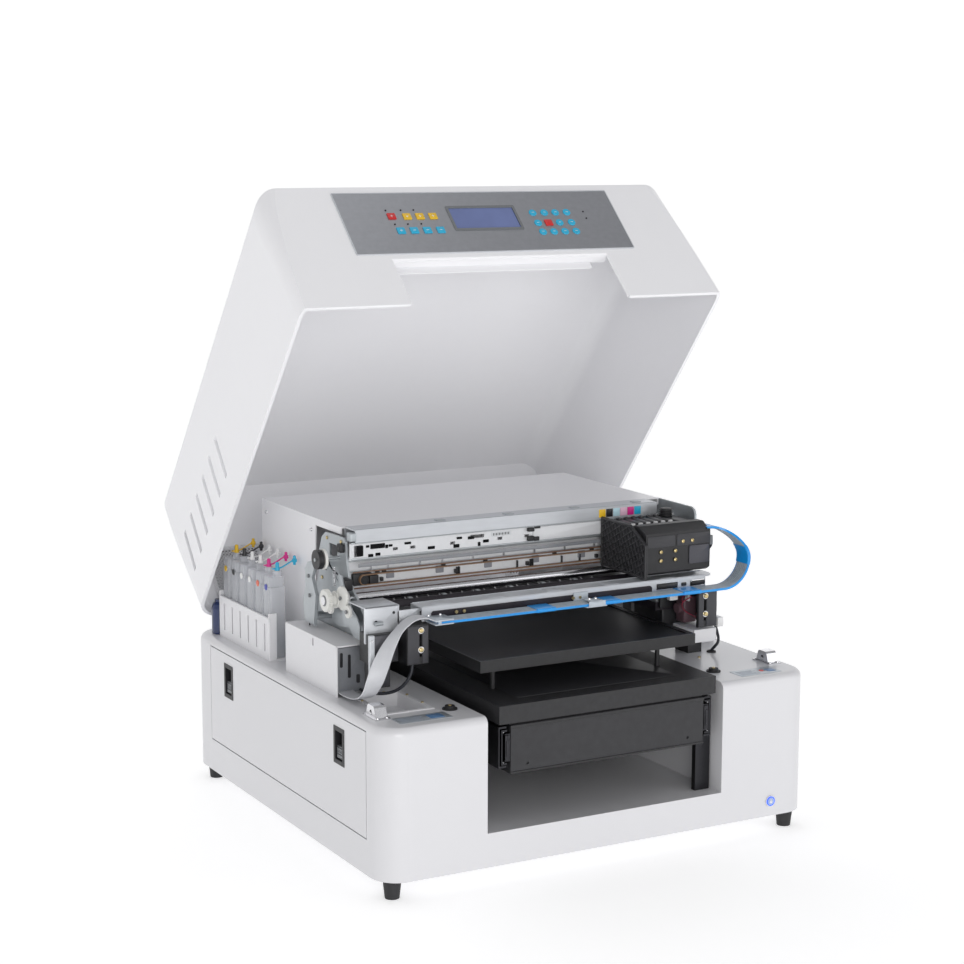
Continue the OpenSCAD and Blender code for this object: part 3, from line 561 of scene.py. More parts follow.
def camera():
    """Eye level well above the hood's rim, 29 degrees round to the left, looking a little down."""
    data = bpy.data.cameras.new("camera")
    data.sensor_width, data.lens = 36, 79.4
    ob = bpy.data.objects.new("camera", data)
    yaw, pitch, roll = (math.radians(v) for v in (28.91, 9.16, 0.14))
    forward = Vector((math.sin(yaw) * math.cos(pitch), math.cos(yaw) * math.cos(pitch),
        -math.sin(pitch)))
    right = Vector((math.cos(yaw), -math.sin(yaw), 0))
    up = right.cross(forward)
    right, up = (math.cos(roll) * right + math.sin(roll) * up, math.cos(roll) * up - math.sin(roll)
        * right)
    turn = Matrix((right, up, -forward)).transposed().to_4x4()
    eye = Vector((-1.7580, FRONT - 2.7642, 1.1478))
    ob.matrix_world = Matrix.Translation(eye) @ turn
    bpy.context.scene.collection.objects.link(ob)
    bpy.context.scene.camera = ob


stage()
camera()

# ---- hood ----


def hood_panel():
    """Frame round the display, the keys and their symbols, the lamps beside them, and the plate's
    pale rim."""
    low = 109.0                                          # the plate's lower edge above the rim

    def key(x, y, w, h, r, rise=1.6):
        return slab((x - w / 2, low + y - h / 2, 1.4), (x + w / 2, low + y + h / 2, 1.4 + rise), Z,
            r, 0.5)

    bezel_outer, bezel_inner = rounded(134, 57, 2.5), rounded(124, 47, 1.0)
    rings = [level(o + [0, low + 77], z) for o, z in ((bezel_outer, 1.4),
        (bezel_outer * 0.993, 2.6), (bezel_inner, 2.6), (bezel_inner, 0.9))]
    on_plate("display_bezel", [skin(rings, loop=True)], grey_moulding, "black_plastic")
    squares = {"key_power": (red, [(-174, 84)]),
        "keys_yellow": (yellow, [(-145.5, 83), (-121.5, 83), (-97, 83)]),
        "keys_cyan": (cyan, [(-168, 51), (-143.5, 51), (-119, 51), (-94, 51)]),
        "key_stop": (red, [(120, 63)])}
    for name, (look, spots) in squares.items():
        on_plate(name, [key(x, y, 15, 14, 1.6) for x, y in spots], look)
    rounds = [(98, 87), (121, 87), (143, 87), (166, 87), (99, 63), (142, 63), (166, 63), (100, 42),
        (122, 42), (144, 42), (166.5, 42)]
    on_plate("keys_round", [turned([(0.2, 1.4), (7.2, 1.4), (7.2, 2.4), (6.6, 3.0), (0.2, 3.1)],
            (x, low + y, 0), Z) for x, y in rounds], cyan)
    marks = [(x, y) for _, spots in squares.values() for x, y in spots if x < 0] + rounds
    on_plate("key_symbols", [key(x, y, 5, 0.9, 0.3, 1.9) for x, y in marks]
        + [key(x, y, 0.9, 5, 0.3, 1.9) for x, y in marks[:5]], pure_white)
    lamps = [(200, 88), (200, 72), (-180, 98), (-152, 98), (-128, 98), (-174, 66), (-150, 66),
        (-125, 66)]
    on_plate("panel_lamps", heads([(x, low + y, 1.4) for x, y in lamps], Z, 12, 1.7, 1.4, 1.2, 1.6),
        ink_black)
    on_plate("panel_rim",
        [skin([level(o + [0, low + 69], z) for o, z in ((rounded(533.5, 139.5, 2), 0.0),
            (rounded(533.5, 139.5, 2), 2.0), (rounded(531, 137, 1.5), 2.2),
            (rounded(531, 137, 1.5), 0.0))], loop=True)], pale_rim)


def hood_edges():
    """Rolled bead along the notch and the front edge, and a folded lip inside the notch's top
    edge."""
    half, top, t = 208.0, 100.0, 3.0
    bead = [(x, y, -3) for x, y in ((-358, 1.5), (-half, 1.5), (-half, top), (half, top),
        (half, 1.5), (358, 1.5))]
    parts = [tube(np.linspace(a, b, 12), t, 10) for a, b in zip(bead[:-1], bead[1:])]
    parts.append(slab((-half, top - 4, -20), (half, top - 1.5, -4), X, 0.8, 0.6))
    parts.append(slab((-half + 1, top - 18, -20), (178, top - 3, -18), X, 0.6, 0.6))
    on_plate("notch_lip", parts, white_gloss_painted_brighter, "white_shell")


def vent_mesh():
    """Perforated sheets behind the openings in the hood's back wall, round holes in square cells,
    with a dark filter behind each."""
    lo, hi, pitch, hole = 284.0, 406.0, 6.2, 2.1
    slope = 52 / WALL

    def place(p):
        depth = 762 - slope * (p[:, 1] - RIM) - 6.2 - p[:, 2]
        return np.column_stack([p[:, 0], depth, p[:, 1]])

    def inside(points):
        return opened(at(points))

    parts = []
    for x0, x1 in ((242.0, 352.0), (-352.0, -242.0)):
        us = np.linspace(x0, x1, int((x1 - x0) / pitch) + 1)
        vs = np.linspace(lo, hi, int((hi - lo) / pitch) + 1)
        parts.append(holed_sheet(us, vs, hole, place, 1.2, 8))
    ob = make("vent_mesh", parts, white_coat, "hood", "cover_white", inside)
    pads = []
    for x in (250.4, -343.6):
        ring = [(x + u, 762 - slope * (z - RIM) - t, z) for t in (4.2, 3.0)
            for u, z in ((0, 290.4), (93.2, 290.4), (93.2, 399.6), (0, 399.6))]
        pads.append(skin(np.array(ring).reshape(2, 4, 3)))
    make("vent_filters", pads, black_matte, "hood", "cover_white", inside)
    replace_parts(ob, "vent_sheet")


hood_panel()
hood_edges()
vent_mesh()

# ---- cabinet ----


def pod_tops():
    """Blank stickers, the catches' rivets and pins, the cable's grommet, the junction block at the
    right, and the feet's bosses."""
    fixed("pod_stickers", slabs(((-356, 28, 272), (-265, 62, 272.5), Z, 2, 0.15),
        ((270, 18, 272), (352, 55, 272.5), Z, 2, 0.15)), label_silver, "cover_white")
    lines = [slab((-350, 33 + 5 * k, 272.4), (-312 + 6 * (k % 3), 34.6 + 5 * k, 272.8), Z, 0.4, 0.1)
        for k in range(5)]
    lines += [slab((276, 24 + 5 * k, 272.4), (312 - 5 * (k % 3), 25.6 + 5 * k, 272.8), Z, 0.4, 0.1)
        for k in range(5)]
    fixed("sticker_rules", lines, plain("sticker_grey", (0.28, 0.32, 0.38)), "cover_white")
    fixed("sticker_squares", slabs(((-300, 34, 272.4), (-276, 56, 272.9), Z, 2, 0.1),
        ((330, 26, 272.4), (346, 42, 272.9), Z, 2, 0.1)), plain("sticker_blue", (0.1, 0.22, 0.42)),
        "cover_white")
    fixed("red_dot", heads([(322, 36, 272.4)], Z, 28, 4.2, 4.0, 0.8, 1.0), red, "cover_white")
    fixed("catch_rivets", heads([(s * 369 + x, d, 274) for s in (-1, 1) for x in (-8, 8)
            for d in (65, 103)], Z, 14, 3, 2.6, 1.4, 1.9), chrome, "chrome_parts")
    fixed("catch_pins", [rod((s * 369 - 11, 84, 279), 22, 2.6, X) for s in (-1, 1)], chrome,
        "chrome_parts")
    fixed("lead_grommet",
        [skin([level(circle(r) + [325, 185], z) for r, z in ((5.0, 268), (8.4, 272), (8.0, 274),
            (6.2, 275), (4.6, 274), (4.6, 268))], loop=True)], rubber, "foot_rubber")
    fixed("junction_block", slabs(((338, 246, 272), (374, 272, 292), Z, 2, 1.2),
        ((342, 240, 276), (352, 247, 288), Y, 1, 0.6),
        ((358, 240, 276), (368, 247, 288), Y, 1, 0.6)), white_coat, "cover_white")
    fixed("junction_screws", heads([(x, 262, 292) for x in (344, 356, 368)], Z, 12, 2.2, 1.9, 1.2,
        1.5), brass, "brass_screws")
    fixed("foot_bosses", heads([(s * 371, d, 29.0) for s in (-1, 1) for d in (29, 745)], Z, 28, 19,
        18, 2.4, 2.6), rubber, "foot_rubber")


def button_light():
    """Lit ring between the button and its flange, and a bar on the button."""
    o, i = circle(8.2, 36), circle(6.5, 36)
    x, z = 320.0, 57.0
    rings = [np.column_stack([o[:, 0] + x, np.full(36, d), o[:, 1] + z]) for d in (-2.0, -2.5)]
    rings += [np.column_stack([i[:, 0] + x, np.full(36, d), i[:, 1] + z]) for d in (-2.5, -2.0)]
    fixed("button_ring_light", [flipped(skin(rings, loop=True))], ring_blue, "button_blue")
    make("button_bar", [slab((x - 0.7, -3.4, z - 0.5), (x + 0.7, -2.9, z + 3.4), Y, 0.4, 0.2),
        turned([(0.1, 0), (2.4, 0), (2.2, 0.4), (0.1, 0.5)], (x, -3.4, z - 1), Y, 18)], pure_white,
        "button", "button_blue")


def door_trim():
    """Chamfered rims and finger ridges on the two latches."""
    for depth, tag, body in ((154, "front", "front_latch_slider"),
        (607, "rear", "rear_latch_slider")):
        ridges = [slab((-399.4, depth - 9.5, z), (-396.6, depth + 9.5, z + 1.8), Y, 0.8, 0.4)
            for z in (192, 195.5, 199, 202.5, 206)]
        make(tag + "_latch_ridges", ridges, grey_moulding, body, "grey_black_plastic")
        outer, inner = rounded(38, 60, 3), rounded(27, 47, 1.5)
        rings = [np.column_stack([np.full(len(o), -x), o + [depth, 212]])
            for o, x in ((outer, 400.2), (outer * 0.98, 400.98), (inner, 400.98), (inner, 400.2))]
        make(tag + "_latch_rim", [flipped(skin(rings, loop=True))], black_matte, "door",
            "black_plastic")


pod_tops()
button_light()
door_trim()

# ---- table ----


def table_trim():
    """The platen rim's painted highlight line along its front and left edges, the front panel's
    folded edges, the slides' end stops and balls, and the mat on the table under the platen."""
    # Painted highlight: a lighter metallic strip along the platen rim's front and left edges, where
    # light catches the edge.
    make("platen_rim_line", slabs(((-201.6, 57.4, 344.4), (201.6, 59.0, 345.2), X, 0.3, 0.2),
        ((-202.2, 58, 344.3), (-201.0, 536, 345.1), Y, 0.3, 0.2)),
        finish("rim_painted_highlight", (0.2, 0.2, 0.21), 0.3, metal=0.8, mottle=0.3), "platen_set",
        "platen_black")
    make("panel_frame", slabs(((-181, -2.4, 248), (181, -0.6, 253.6), X, 0.8, 0.5),
        ((-181, -2.4, 176.4), (181, -0.6, 179.5), X, 0.8, 0.5)), black_coat, "table", "table_black")
    stops = []
    for s in (-1, 1):
        stops += slabs(((s * 182, -2, 199), (s * 190, 4, 239), Z, 1.5, 0.8),
            ((s * 183.5, -3.9, 206), (s * 188.5, -1.6, 232), Z, 1.2, 0.6))
    make("slide_end_stops", stops, slide_dark, "table", "slide_steel")
    balls = [turned([(0.05, 0), (1.6, 0.5), (2.2, 1.6), (1.6, 2.7), (0.05, 3.2)],
        (s * 191, 4 + 16 * k, z), Z, 10) for s in (-1, 1) for k in range(30)
        for z in (193.2, 241.6)]
    make("slide_balls", balls, chrome, "slide_middles", "slide_steel")
    make("table_mat", [slab((-150, 30, 286.6), (150, 500, 287.5), Z, 6, 0.3)], panel_coat, "table",
        "table_black")


table_trim()

# ---- engine ----


def rear_sheet_details():
    """Things on the engine's rear sheet: hems, a blank white plate, a label with bars, clips, pads
    and slots shown as near-black patches of painted shade."""
    spans = np.arange(-300, 300, 46.0)
    fixed("sheet_hems", slabs(((-312, 290.2, 501), (312, 292, 503.6), X, 0.6, 0.4),
        ((-312, 290.6, 474.2), (312, 292, 477.2), X, 0.6, 0.4),
        ((-312, 303.6, 469), (312, 306.2, 472.2), X, 0.6, 0.4),
        ((-312, 303.4, 452), (312, 306.1, 453.4), X, 0.5, 0.4)), galvanised, "plate_steel")
    fixed("white_plate", [slab((28, 289.8, 479), (176, 292, 500), Y, 1.5, 0.5)],
        finish("white_plate_paint", (0.72, 0.73, 0.75), 0.25, scale=90, mottle=0.03, coat=0.4),
        "plate_steel")
    fixed("barcode_label", [slab((-52, 291.2, 491), (-14, 292.2, 498), Y, 0.4, 0.1)], paper,
        "plate_steel")
    bars = np.arange(-49, -17, 1.9)
    fixed("barcode_bars", [slab((x, 290.9, 492.5), (x + 0.4 + 0.7 * (k % 3 == 0), 291.3, 496.5), Y,
            0.2, 0.05) for k, x in enumerate(bars)], ink_black, "plate_steel")
    clips = slabs(((16, 284, 478), (27, 292, 486), X, 1, 0.6),
        ((16, 284, 494), (27, 292, 500), X, 1, 0.6), ((28, 286, 477), (38, 292, 484), X, 1, 0.6),
        ((30, 286, 498), (40, 292, 502), X, 1, 0.6))
    clips += [slab((x, 300.5, 446), (x + 6, 306.5, 452), X, 0.8, 0.5)
        for x in (-262, -250, -140, -60, 75, 150)]
    clips += [slab((x, 300.5, 433.0), (x + 5, 306.5, 439.5), X, 0.8, 0.5) for x in spans[1::3]]
    clips += [slab((x, 301.5, 428.5), (x + 2, 306.5, 443), X, 0.5, 0.4)
        for x in (-112, -108, 4, 30, 34, 92, 128, 190)]
    clips += slabs(((-306, 296, 430), (-272, 304, 450), X, 1.5, 0.8),
        ((-278, 292, 432), (-262, 300, 446), X, 1, 0.8))
    fixed("sheet_clips", clips, black_matte, "black_plastic")
    pads = [slab((x + 12, 303.6, 436), (x + 26, 306.4, 448), Y, 1, 0.5) for x in spans[1:12:2]]
    fixed("sheet_pads", pads, plain("pad_grey", (0.25, 0.26, 0.29)), "plate_steel")
    # The slots are not cut: near-black patches on the sheet paint the shade inside them.
    cut = [(-302, 12, 480, 17), (-285, 6, 493, 4), (-277, 26, 490, 8), (-250, 5, 489, 6),
        (-244, 7, 491, 4), (-268, 9, 478, 5), (-281, 9, 477, 5), (-215, 12, 492, 4),
        (-172, 13, 480, 5), (-124, 11, 478, 6), (-118, 10, 492, 4), (-97, 12, 490, 5),
        (-78, 5, 477, 7), (-68, 11, 482, 5)]
    fixed("sheet_slots", [slab((x, 291.3, z), (x + w, 292.1, z + h), Y, 0.8, 0.1)
        for x, w, z, h in cut], finish("slot_painted_shade", (0.008, 0.008, 0.009), 0.8, scale=200,
        mottle=0.1, specular=0.1), "guard_dark")


def rail_details():
    """Colour patches and hems on the top rail, the encoder film, the guide strips, the star-wheel
    strip, and the front rail's hems, with its slots as black patches of painted shade."""
    patches = [(yellow, "yellow"), (ink_black, "black"),
        (plain("pale_cyan", (0.5, 0.72, 0.8)), "pale_cyan"),
        (plain("pale_magenta", (0.78, 0.5, 0.64)), "pale_magenta"), (magenta, "magenta"),
        (cyan, "cyan")]
    for k, (look, tag) in enumerate(patches):
        x = 157.5 + 14.4 * k
        fixed("ink_patch_" + tag, [slab((x, 287.4, 506), (x + 13, 288.2, 520), Y, 0.6, 0.1)], look,
            "plate_steel")
    tabs = [slab((x, 300, 523.4), (x + 16, 312, 525.4), X, 0.8, 0.4) for x in (-150, -20, 110, 235)]
    tabs += slabs(((-306, 288.4, 521.4), (276, 291.5, 524.6), X, 1.4, 1.0),
        ((-306, 286.8, 501.6), (262, 289.4, 503.4), X, 0.8, 0.6))
    tabs += [slab((-316, 284, 506), (-306, 300, 520), X, 1.5, 0.8)]
    fixed("rail_hems", tabs, galvanised, "plate_steel")
    fixed("encoder_film", [slab((-300, 289.2, 462), (300, 289.6, 468), X, 0.1, 0.05)], film,
        "plate_steel")
    fixed("guide_strips", slabs(((-308, 293.5, 452.2), (306, 295.0, 454.4), X, 0.5, 0.3),
        ((-308, 293.5, 425.6), (306, 295.2, 428.0), X, 0.5, 0.3)), strip_brown, "belt_brown")
    fixed("paper_guide", slabs(((-312, 270, 402), (312, 300, 405), X, 1, 0.6),
        ((-312, 262, 396), (312, 266, 408), X, 1, 0.6)), guard_dark, "guard_dark")
    wheels = [turned([(0.3, 0), (3.6, 0), (4.4, 0.9), (3.4, 1.8), (0.3, 1.8)], (x, 268, 405.6), X,
        14) for x in np.arange(-290, 150, 21.0)]
    fixed("star_wheels", wheels, chrome, "chrome_parts")
    holders = [slab((x + 3, 263, 399), (x + 16, 273, 408), X, 1.2, 0.8)
        for x in np.arange(-290, 150, 21.0)]
    fixed("wheel_holders", holders, black_matte, "black_plastic")
    pads = [slab((x, 263.5, 407.6), (x + 7, 272, 409.2), X, 0.6, 0.3)
        for x in np.arange(-284, 150, 63.0)]
    fixed("wheel_springs", pads, galvanised, "frame_steel")
    lines = slabs(((-254, 151, 417.6), (284, 153.2, 419.4), X, 0.9, 0.6),
        ((-254, 187, 417.8), (300, 189, 419.2), X, 0.6, 0.4))
    lines += [slab((x, 160, 417.8), (x + 30, 182, 418.6), Z, 3, 0.3)
        for x in (-230, -130, -20, 90, 200)]
    fixed("front_rail_hems", lines, bright_plate, "plate_steel")
    # The rail's slots are not cut: black patches on its face paint the shade inside them.
    fixed("front_rail_slots", slabs(((187, 149.0, 403), (228, 149.9, 411), Y, 3.6, 0.1),
        ((256, 149.0, 403), (284, 149.9, 411), Y, 3.6, 0.1),
        ((236, 149.0, 404), (246, 149.9, 410), Y, 1.5, 0.1)), ink_black, "guard_dark")


def left_mechanism():
    """Silver front bracket, outer link plates, white pulleys with hubs, spring, screws, and a
    sensor with its lead, at the engine's left."""
    bracket = slabs(((-353, 158, 368), (-292, 161, 426), Y, 2, 0.8),
        ((-353, 158, 423.6), (-292, 216, 426), Y, 1.2, 0.8),
        ((-296, 158, 396), (-256, 161, 416), Y, 2, 0.8))
    fixed("silver_bracket", bracket, bright_plate, "plate_steel")
    # The bracket's holes are not cut: black discs on its face paint the shade inside them.
    fixed("bracket_holes",
        heads([(x, 158.1, z) for x, z in ((-302, 414), (-346, 382), (-333, 402), (-344, 376))], Y,
        14, 2.4, 2.4, -0.5, -0.5), ink_black, "guard_dark")
    fixed("bracket_rollers", [rod((-338, 152, 400), 14, 3.2, X), rod((-346, 150, 378), 12, 3.2, X)],
        galvanised, "frame_steel")

    def link(points, x, t=2.0):
        return plate(points, t, (x, 0, 0), X)

    links = [link([(347, 362), (383, 362), (388, 395), (378, 420), (380, 450), (372, 460),
            (353, 466), (344, 455), (354, 440), (338, 412)], -354.0),
        link([(262, 372), (300, 366), (330, 372), (326, 388), (300, 394), (282, 404), (258, 398)],
        -330.0), link([(290, 456), (278, 455), (262, 425), (240, 406), (222, 396), (211, 385),
            (210, 362), (232, 362), (250, 376), (268, 372), (277, 400), (293, 430)][::-1], -336.0),
        link([(296, 420), (320, 426), (334, 448), (326, 458), (306, 444), (292, 432)], -332.0)]
    fixed("link_plates", links, galvanised, "frame_steel", sharp=20)
    white_discs = [turned([(3.2, 0), (16.5, 0), (17.2, 1), (17.2, 4), (16, 5), (3.2, 5)],
        (-350, 322, 475), X, 36), turned([(2.5, 0), (19, 0), (19.6, 1), (19.6, 4), (18.6, 5),
            (8, 5.4), (8, 8), (2.5, 8)], (-344, 262, 421), X, 40),
        turned([(2, 0), (10, 0), (10.5, 1), (10.5, 4), (2, 5)], (-346, 236, 404), X, 30),
        turned([(2, 0), (11, 0), (11.4, 1), (11.4, 4), (2, 5)], (-344, 308, 398), X, 30)]
    fixed("white_pulleys", white_discs, gear_white, "gear_white")
    hubs = heads(((-347, 262, 421), (-349, 236, 404), (-347, 308, 398), (-356, 362, 408),
        (-356, 366, 440)), X, 18, 3.4, 3.1, 2, 2.4)
    fixed("pulley_hubs", hubs, grey_moulding, "black_plastic")
    a = np.linspace(0, 2 * math.pi * 11, 200)
    spring = np.column_stack([-340 + 2.6 * np.cos(a), 296 + 2.6 * np.sin(a),
        np.linspace(434, 466, 200)])
    fixed("tension_spring", [tube(spring, 0.5, 6)], chrome, "chrome_parts")
    fixed("left_screws", heads([(-318.4, d, z) for d, z in ((250, 360), (300, 352), (350, 352),
            (392, 384), (316, 502), (370, 500), (390, 430))], X, 14, 3.0, 2.7, -1.4, -1.9), brass,
        "brass_screws")
    fixed("encoder_sensor", slabs(((-334, 268, 430), (-320, 292, 448), X, 1.5, 1),
        ((-326, 302, 486), (-318, 316, 500), X, 1.5, 1)), black_matte, "black_plastic")
    lead = curve([(-328, 288, 446), (-338, 312, 462), (-334, 340, 478), (-330, 372, 470),
        (-334, 396, 430), (-342, 392, 372), (-350, 372, 356)], 70)
    fixed("sensor_lead", [tube(lead, 1.3, 8)], lead_black, "lead_dark")
    fixed("roller_bush", [rod((-331, 284, 415), 9, 11, X, n=36)], pure_white, "gear_white")


def gear_teeth():
    """Toothed rim round the feed roller's gear: its radius steps between root and tip."""
    teeth, tip, root = 34, 18.6, 16.8
    n = teeth * 4
    r = np.where(np.arange(n) % 4 < 2, tip, root)
    flat, inner = circle(1.0, n) * r[:, None], circle(16.4, n)
    rings = [np.column_stack([np.full(n, x), o + [284, 415]]) for o, x in ((inner, -363.8),
        (flat, -363.6), (flat, -356.4), (inner, -356.2))]
    make("feed_gear_teeth", [skin(rings, loop=True)], gear_white, "feed", "gear_white", sharp=25)
    boss = [turned([(5, -364.6), (9, -364.6), (9, -363.8), (5, -363.8)], (0, 284, 415), X, 28)]
    make("feed_gear_boss", boss, grey_moulding, "feed", "gear_white")


def brackets():
    """Skins, washers and screws of the height brackets, the left motor's flange, and the foot,
    service unit and loose wiring at the right."""
    looks = plain("bracket_charcoal", (0.045, 0.045, 0.052), 0.45, 0.0)
    for s in (-1, 1):
        face = slabs(((s * 257, 126.6, 335), (s * 267.4, 128.4, 395), Z, 1, 0.5),
            ((s * 272.6, 126.6, 335), (s * 293, 128.4, 395), Z, 1, 0.5))
        tag = "left" if s < 0 else "right"
        fixed(tag + "_bracket_skin", face, looks, "bracket_black")
        fixed(tag + "_bracket_washers", [turned([(1.8, 0), (5.4, 0), (5.2, -0.9), (1.8, -0.9)],
                (s * 270, 126.7, z), Y, 20) for z in (357, 388)], chrome, "chrome_parts")
        fixed(tag + "_bracket_heads",
            [turned([(0.1, 0), (4.0, 0), (3.6, -2.0), (1.2, -2.6), (0.1, -2.2)],
                (s * 270, 125.8, z), Y, 16) for z in (357, 388)], brass, "brass_screws")
    fixed("motor_flange", slabs(((-342, 145.4, 340), (-301, 147.4, 383), Y, 3, 0.8),
        ((-342, 145.6, 300), (-316, 147.4, 336), Y, 3, 0.8)), motor_grey, "bracket_black")
    fixed("mount_strip", [slab((-352.3, 140.7, 295.8), (-343.7, 147.3, 384.3), Z, 0.8, 0.4)],
        bright_plate, "plate_steel")
    fixed("mount_strip_screws", heads([(-348, 140.8, z) for z in (304, 340, 376)], Y, 14, 2.4, 2.1,
        -1.4, -1.8), chrome, "chrome_parts")
    fixed("right_foot_skin", [slab((253.6, 135.6, 305.7), (300.4, 200.4, 328.4), Z, 2, 1)],
        white_coat, "plate_steel")
    fixed("service_arm", slabs(((224, 170, 384), (290, 176, 392), Y, 2, 0.8),
        ((226, 168, 376), (242, 178, 388), Y, 2, 0.8),
        ((262, 166, 372), (266, 176, 386), Z, 1, 0.4)), pure_white, "gear_white")
    fixed("service_unit", slabs(((236, 206, 316), (290, 296, 352), Z, 3, 1),
        ((228, 200, 356), (252, 206, 380), Y, 2, 1)), black_matte, "guard_dark")
    fixed("service_pump", [slab((262, 178, 332), (288, 204, 376), Z, 3, 1.2),
        rod((254, 190, 356), 34, 9, X)], plain("pump_brown", (0.13, 0.075, 0.09), 0.4, 0.1),
        "guard_dark")
    fixed("capping_frame", slabs(((224, 208, 366), (284, 298, 371), Z, 4, 0.8),
        ((237, 220, 387), (279, 262, 390), Z, 5, 0.8)), grey_moulding, "guard_dark")
    rows = [curve([(258, 150, 384), (246, 160, 372), (258, 172, 356), (276, 168, 344),
            (288, 150, 336)], 40), curve([(262, 156, 388), (254, 170, 380), (266, 186, 362),
            (284, 184, 350), (292, 160, 334)], 40)]
    fixed("right_wiring", [tube(r, 1.1, 8) for r in rows], plain("wire_red", (0.3, 0.03, 0.06)),
        "lead_dark")
    fixed("right_connectors", slabs(((300, 132, 330), (312, 150, 346), Z, 1.5, 0.8),
        ((302, 150, 352), (311, 160, 370), Z, 1.5, 0.8)), pure_white, "gear_white")


def cover_insides():
    """Board bracket seen through the electronics cover's open front, and folded rims and screws on
    both covers."""
    fixed("board_bracket", [slab((-371, 222, 276), (-322, 225, 350), Y, 2, 0.8)],
        plain("bracket_grey", (0.22, 0.23, 0.25), 0.4, 0.1), "steel_case")
    # The bracket's slots are not cut: black patches on its face paint the shade inside them.
    fixed("board_slots", slabs(((-352, 221.2, 300), (-347, 222.2, 338), Y, 2, 0.2),
        ((-337, 221.2, 290), (-331, 222.2, 304), Y, 2, 0.2),
        ((-366, 221.2, 318), (-361, 222.2, 342), Y, 2, 0.2)), ink_black, "guard_dark")
    fixed("cover_fold", slabs(((-375.4, 214.4, 352.6), (-319.6, 217, 355.4), X, 0.8, 0.6),
        ((-375.4, 214.4, 272.4), (-372.6, 217, 355), Z, 0.8, 0.6)), white_coat, "cover_white")
    fixed("rear_cover_fold", slabs(((-310.4, 333.4, 519.4), (310.4, 336.4, 522.4), X, 1, 0.8),
        ((-310.4, 658, 272.4), (-307.6, 660.4, 521), Z, 1, 0.8),
        ((307.6, 658, 272.4), (310.4, 660.4, 521), Z, 1, 0.8)), white_gloss_painted_brighter, "cover_white")
    fixed("rear_cover_screws", heads([(-310.2, d, z) for d in (450, 640) for z in (290, 500)], X,
        14, 3.4, 3.0, -1.6, -2.0), chrome, "chrome_parts")


rear_sheet_details()
rail_details()
left_mechanism()
gear_teeth()
brackets()
cover_insides()

# ---- print carriage ----


def lamp_housing():
    """Lamp box with soft edges: its side outline, drawn in at both ends, carried across; with its
    plates, screws, sockets and leads."""
    side = np.array([(156.0, 430), (162, 426.4), (199.6, 426.4), (199.6, 505.5), (192, 507.6),
        (177, 507.6), (171, 503.5), (155.4, 496.5), (155.2, 492)])
    centre = side.mean(0)
    rings = []
    for x, f in ((168.2, 0.955), (169.6, 0.985), (172.0, 1.0), (294, 1.0), (296.4, 0.985),
        (297.8, 0.955)):
        flat = centre + (side - centre) * f
        rings.append(np.column_stack([np.full(len(flat), x), flat]))
    ob = riding("lamp_housing", [skin(rings)], black_matte, "bracket_black", sharp=24)
    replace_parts(ob, "lamp_box")
    riding("lamp_plate", [slab((254, 153.6, 440), (294, 155.8, 471), Y, 2.5, 0.6)],
        plain("lamp_plate_grey", (0.055, 0.055, 0.068), 0.35, 0.1), "grey_black_plastic")
    riding("lamp_lid", slabs(((229, 154.2, 473), (297, 156.4, 492.5), Y, 2.5, 0.6),
        ((170, 154.2, 473), (225, 156.2, 492), Y, 2.5, 0.6)),
        plain("lamp_lid_grey", (0.03, 0.03, 0.035), 0.4, 0.1), "grey_black_plastic")
    spots = [(241, 480), (260, 480), (197, 465), (226, 465), (197, 450), (226, 450)]
    riding("lamp_screws", [turned([(0.1, 0), (3.3, 0), (3.0, -1.9), (1.6, -2.5), (1.4, -1.4),
            (0.1, -1.4)], (x, 154.8, z), Y, 18) for x, z in spots], brass, "brass_screws")
    riding("lamp_sockets", slabs(((297, 158, 468), (305, 174, 484), X, 1.5, 0.8),
        ((297, 178, 470), (303, 190, 482), X, 1.5, 0.8)), grey_moulding, "black_plastic")
    leads = [curve([(303, 166 + 4 * k, 476), (310 + k, 168 + 4 * k, 466), (304, 176 + 3 * k, 452),
            (299, 190, 446 - k)], 30) for k in range(3)]
    riding("lamp_leads", [tube(r, 1.0, 8) for r in leads], lead_black, "lead_dark")


def ribbed_side():
    """Woven ribs on the carriage's left cover: two slanting families of rods, cut to the cover's
    outline."""
    outline = np.array([(150.0, 424), (286, 424), (286, 506), (195, 506), (150, 480)])
    edges = np.roll(outline, -1, 0) - outline
    parts = []
    for angle, pitch, x in ((62, 10.0, 162.4), (-28, 10.0, 162.0)):
        d = np.array([math.cos(math.radians(angle)), math.sin(math.radians(angle))])
        nrm = np.array([-d[1], d[0]])
        c = outline @ nrm
        for off in np.arange(c.min() + 4, c.max() - 3, pitch):
            origin = nrm * off
            lo, hi = -1e9, 1e9
            for p, e in zip(outline, edges):
                inward = np.array([-e[1], e[0]]) / np.linalg.norm(e)
                num, den = (p - origin) @ inward + 1.0, d @ inward
                if abs(den) < 1e-9:
                    continue
                t = num / den
                lo, hi = (max(lo, t), hi) if den > 0 else (lo, min(hi, t))
            if hi - lo > 8:
                a, b = origin + d * lo, origin + d * hi
                parts.append(tube(np.linspace((x, *a), (x, *b), 6), 1.5, 8))
    rim = np.vstack([outline, outline[:1]])
    for a, b in zip(rim[:-1], rim[1:]):
        parts.append(tube(np.linspace((163, *a), (163, *b), 6), 2.4, 10))
    riding("carriage_ribs", parts, black_soft, "black_plastic")
    studs = heads([(161.5, d, z) for d in np.arange(166, 282, 14.0) for z in (436, 452, 468)], X,
        12, 2.4, 2.0, -1.6, -2.2)
    riding("carriage_studs", studs, black_matte, "black_plastic")


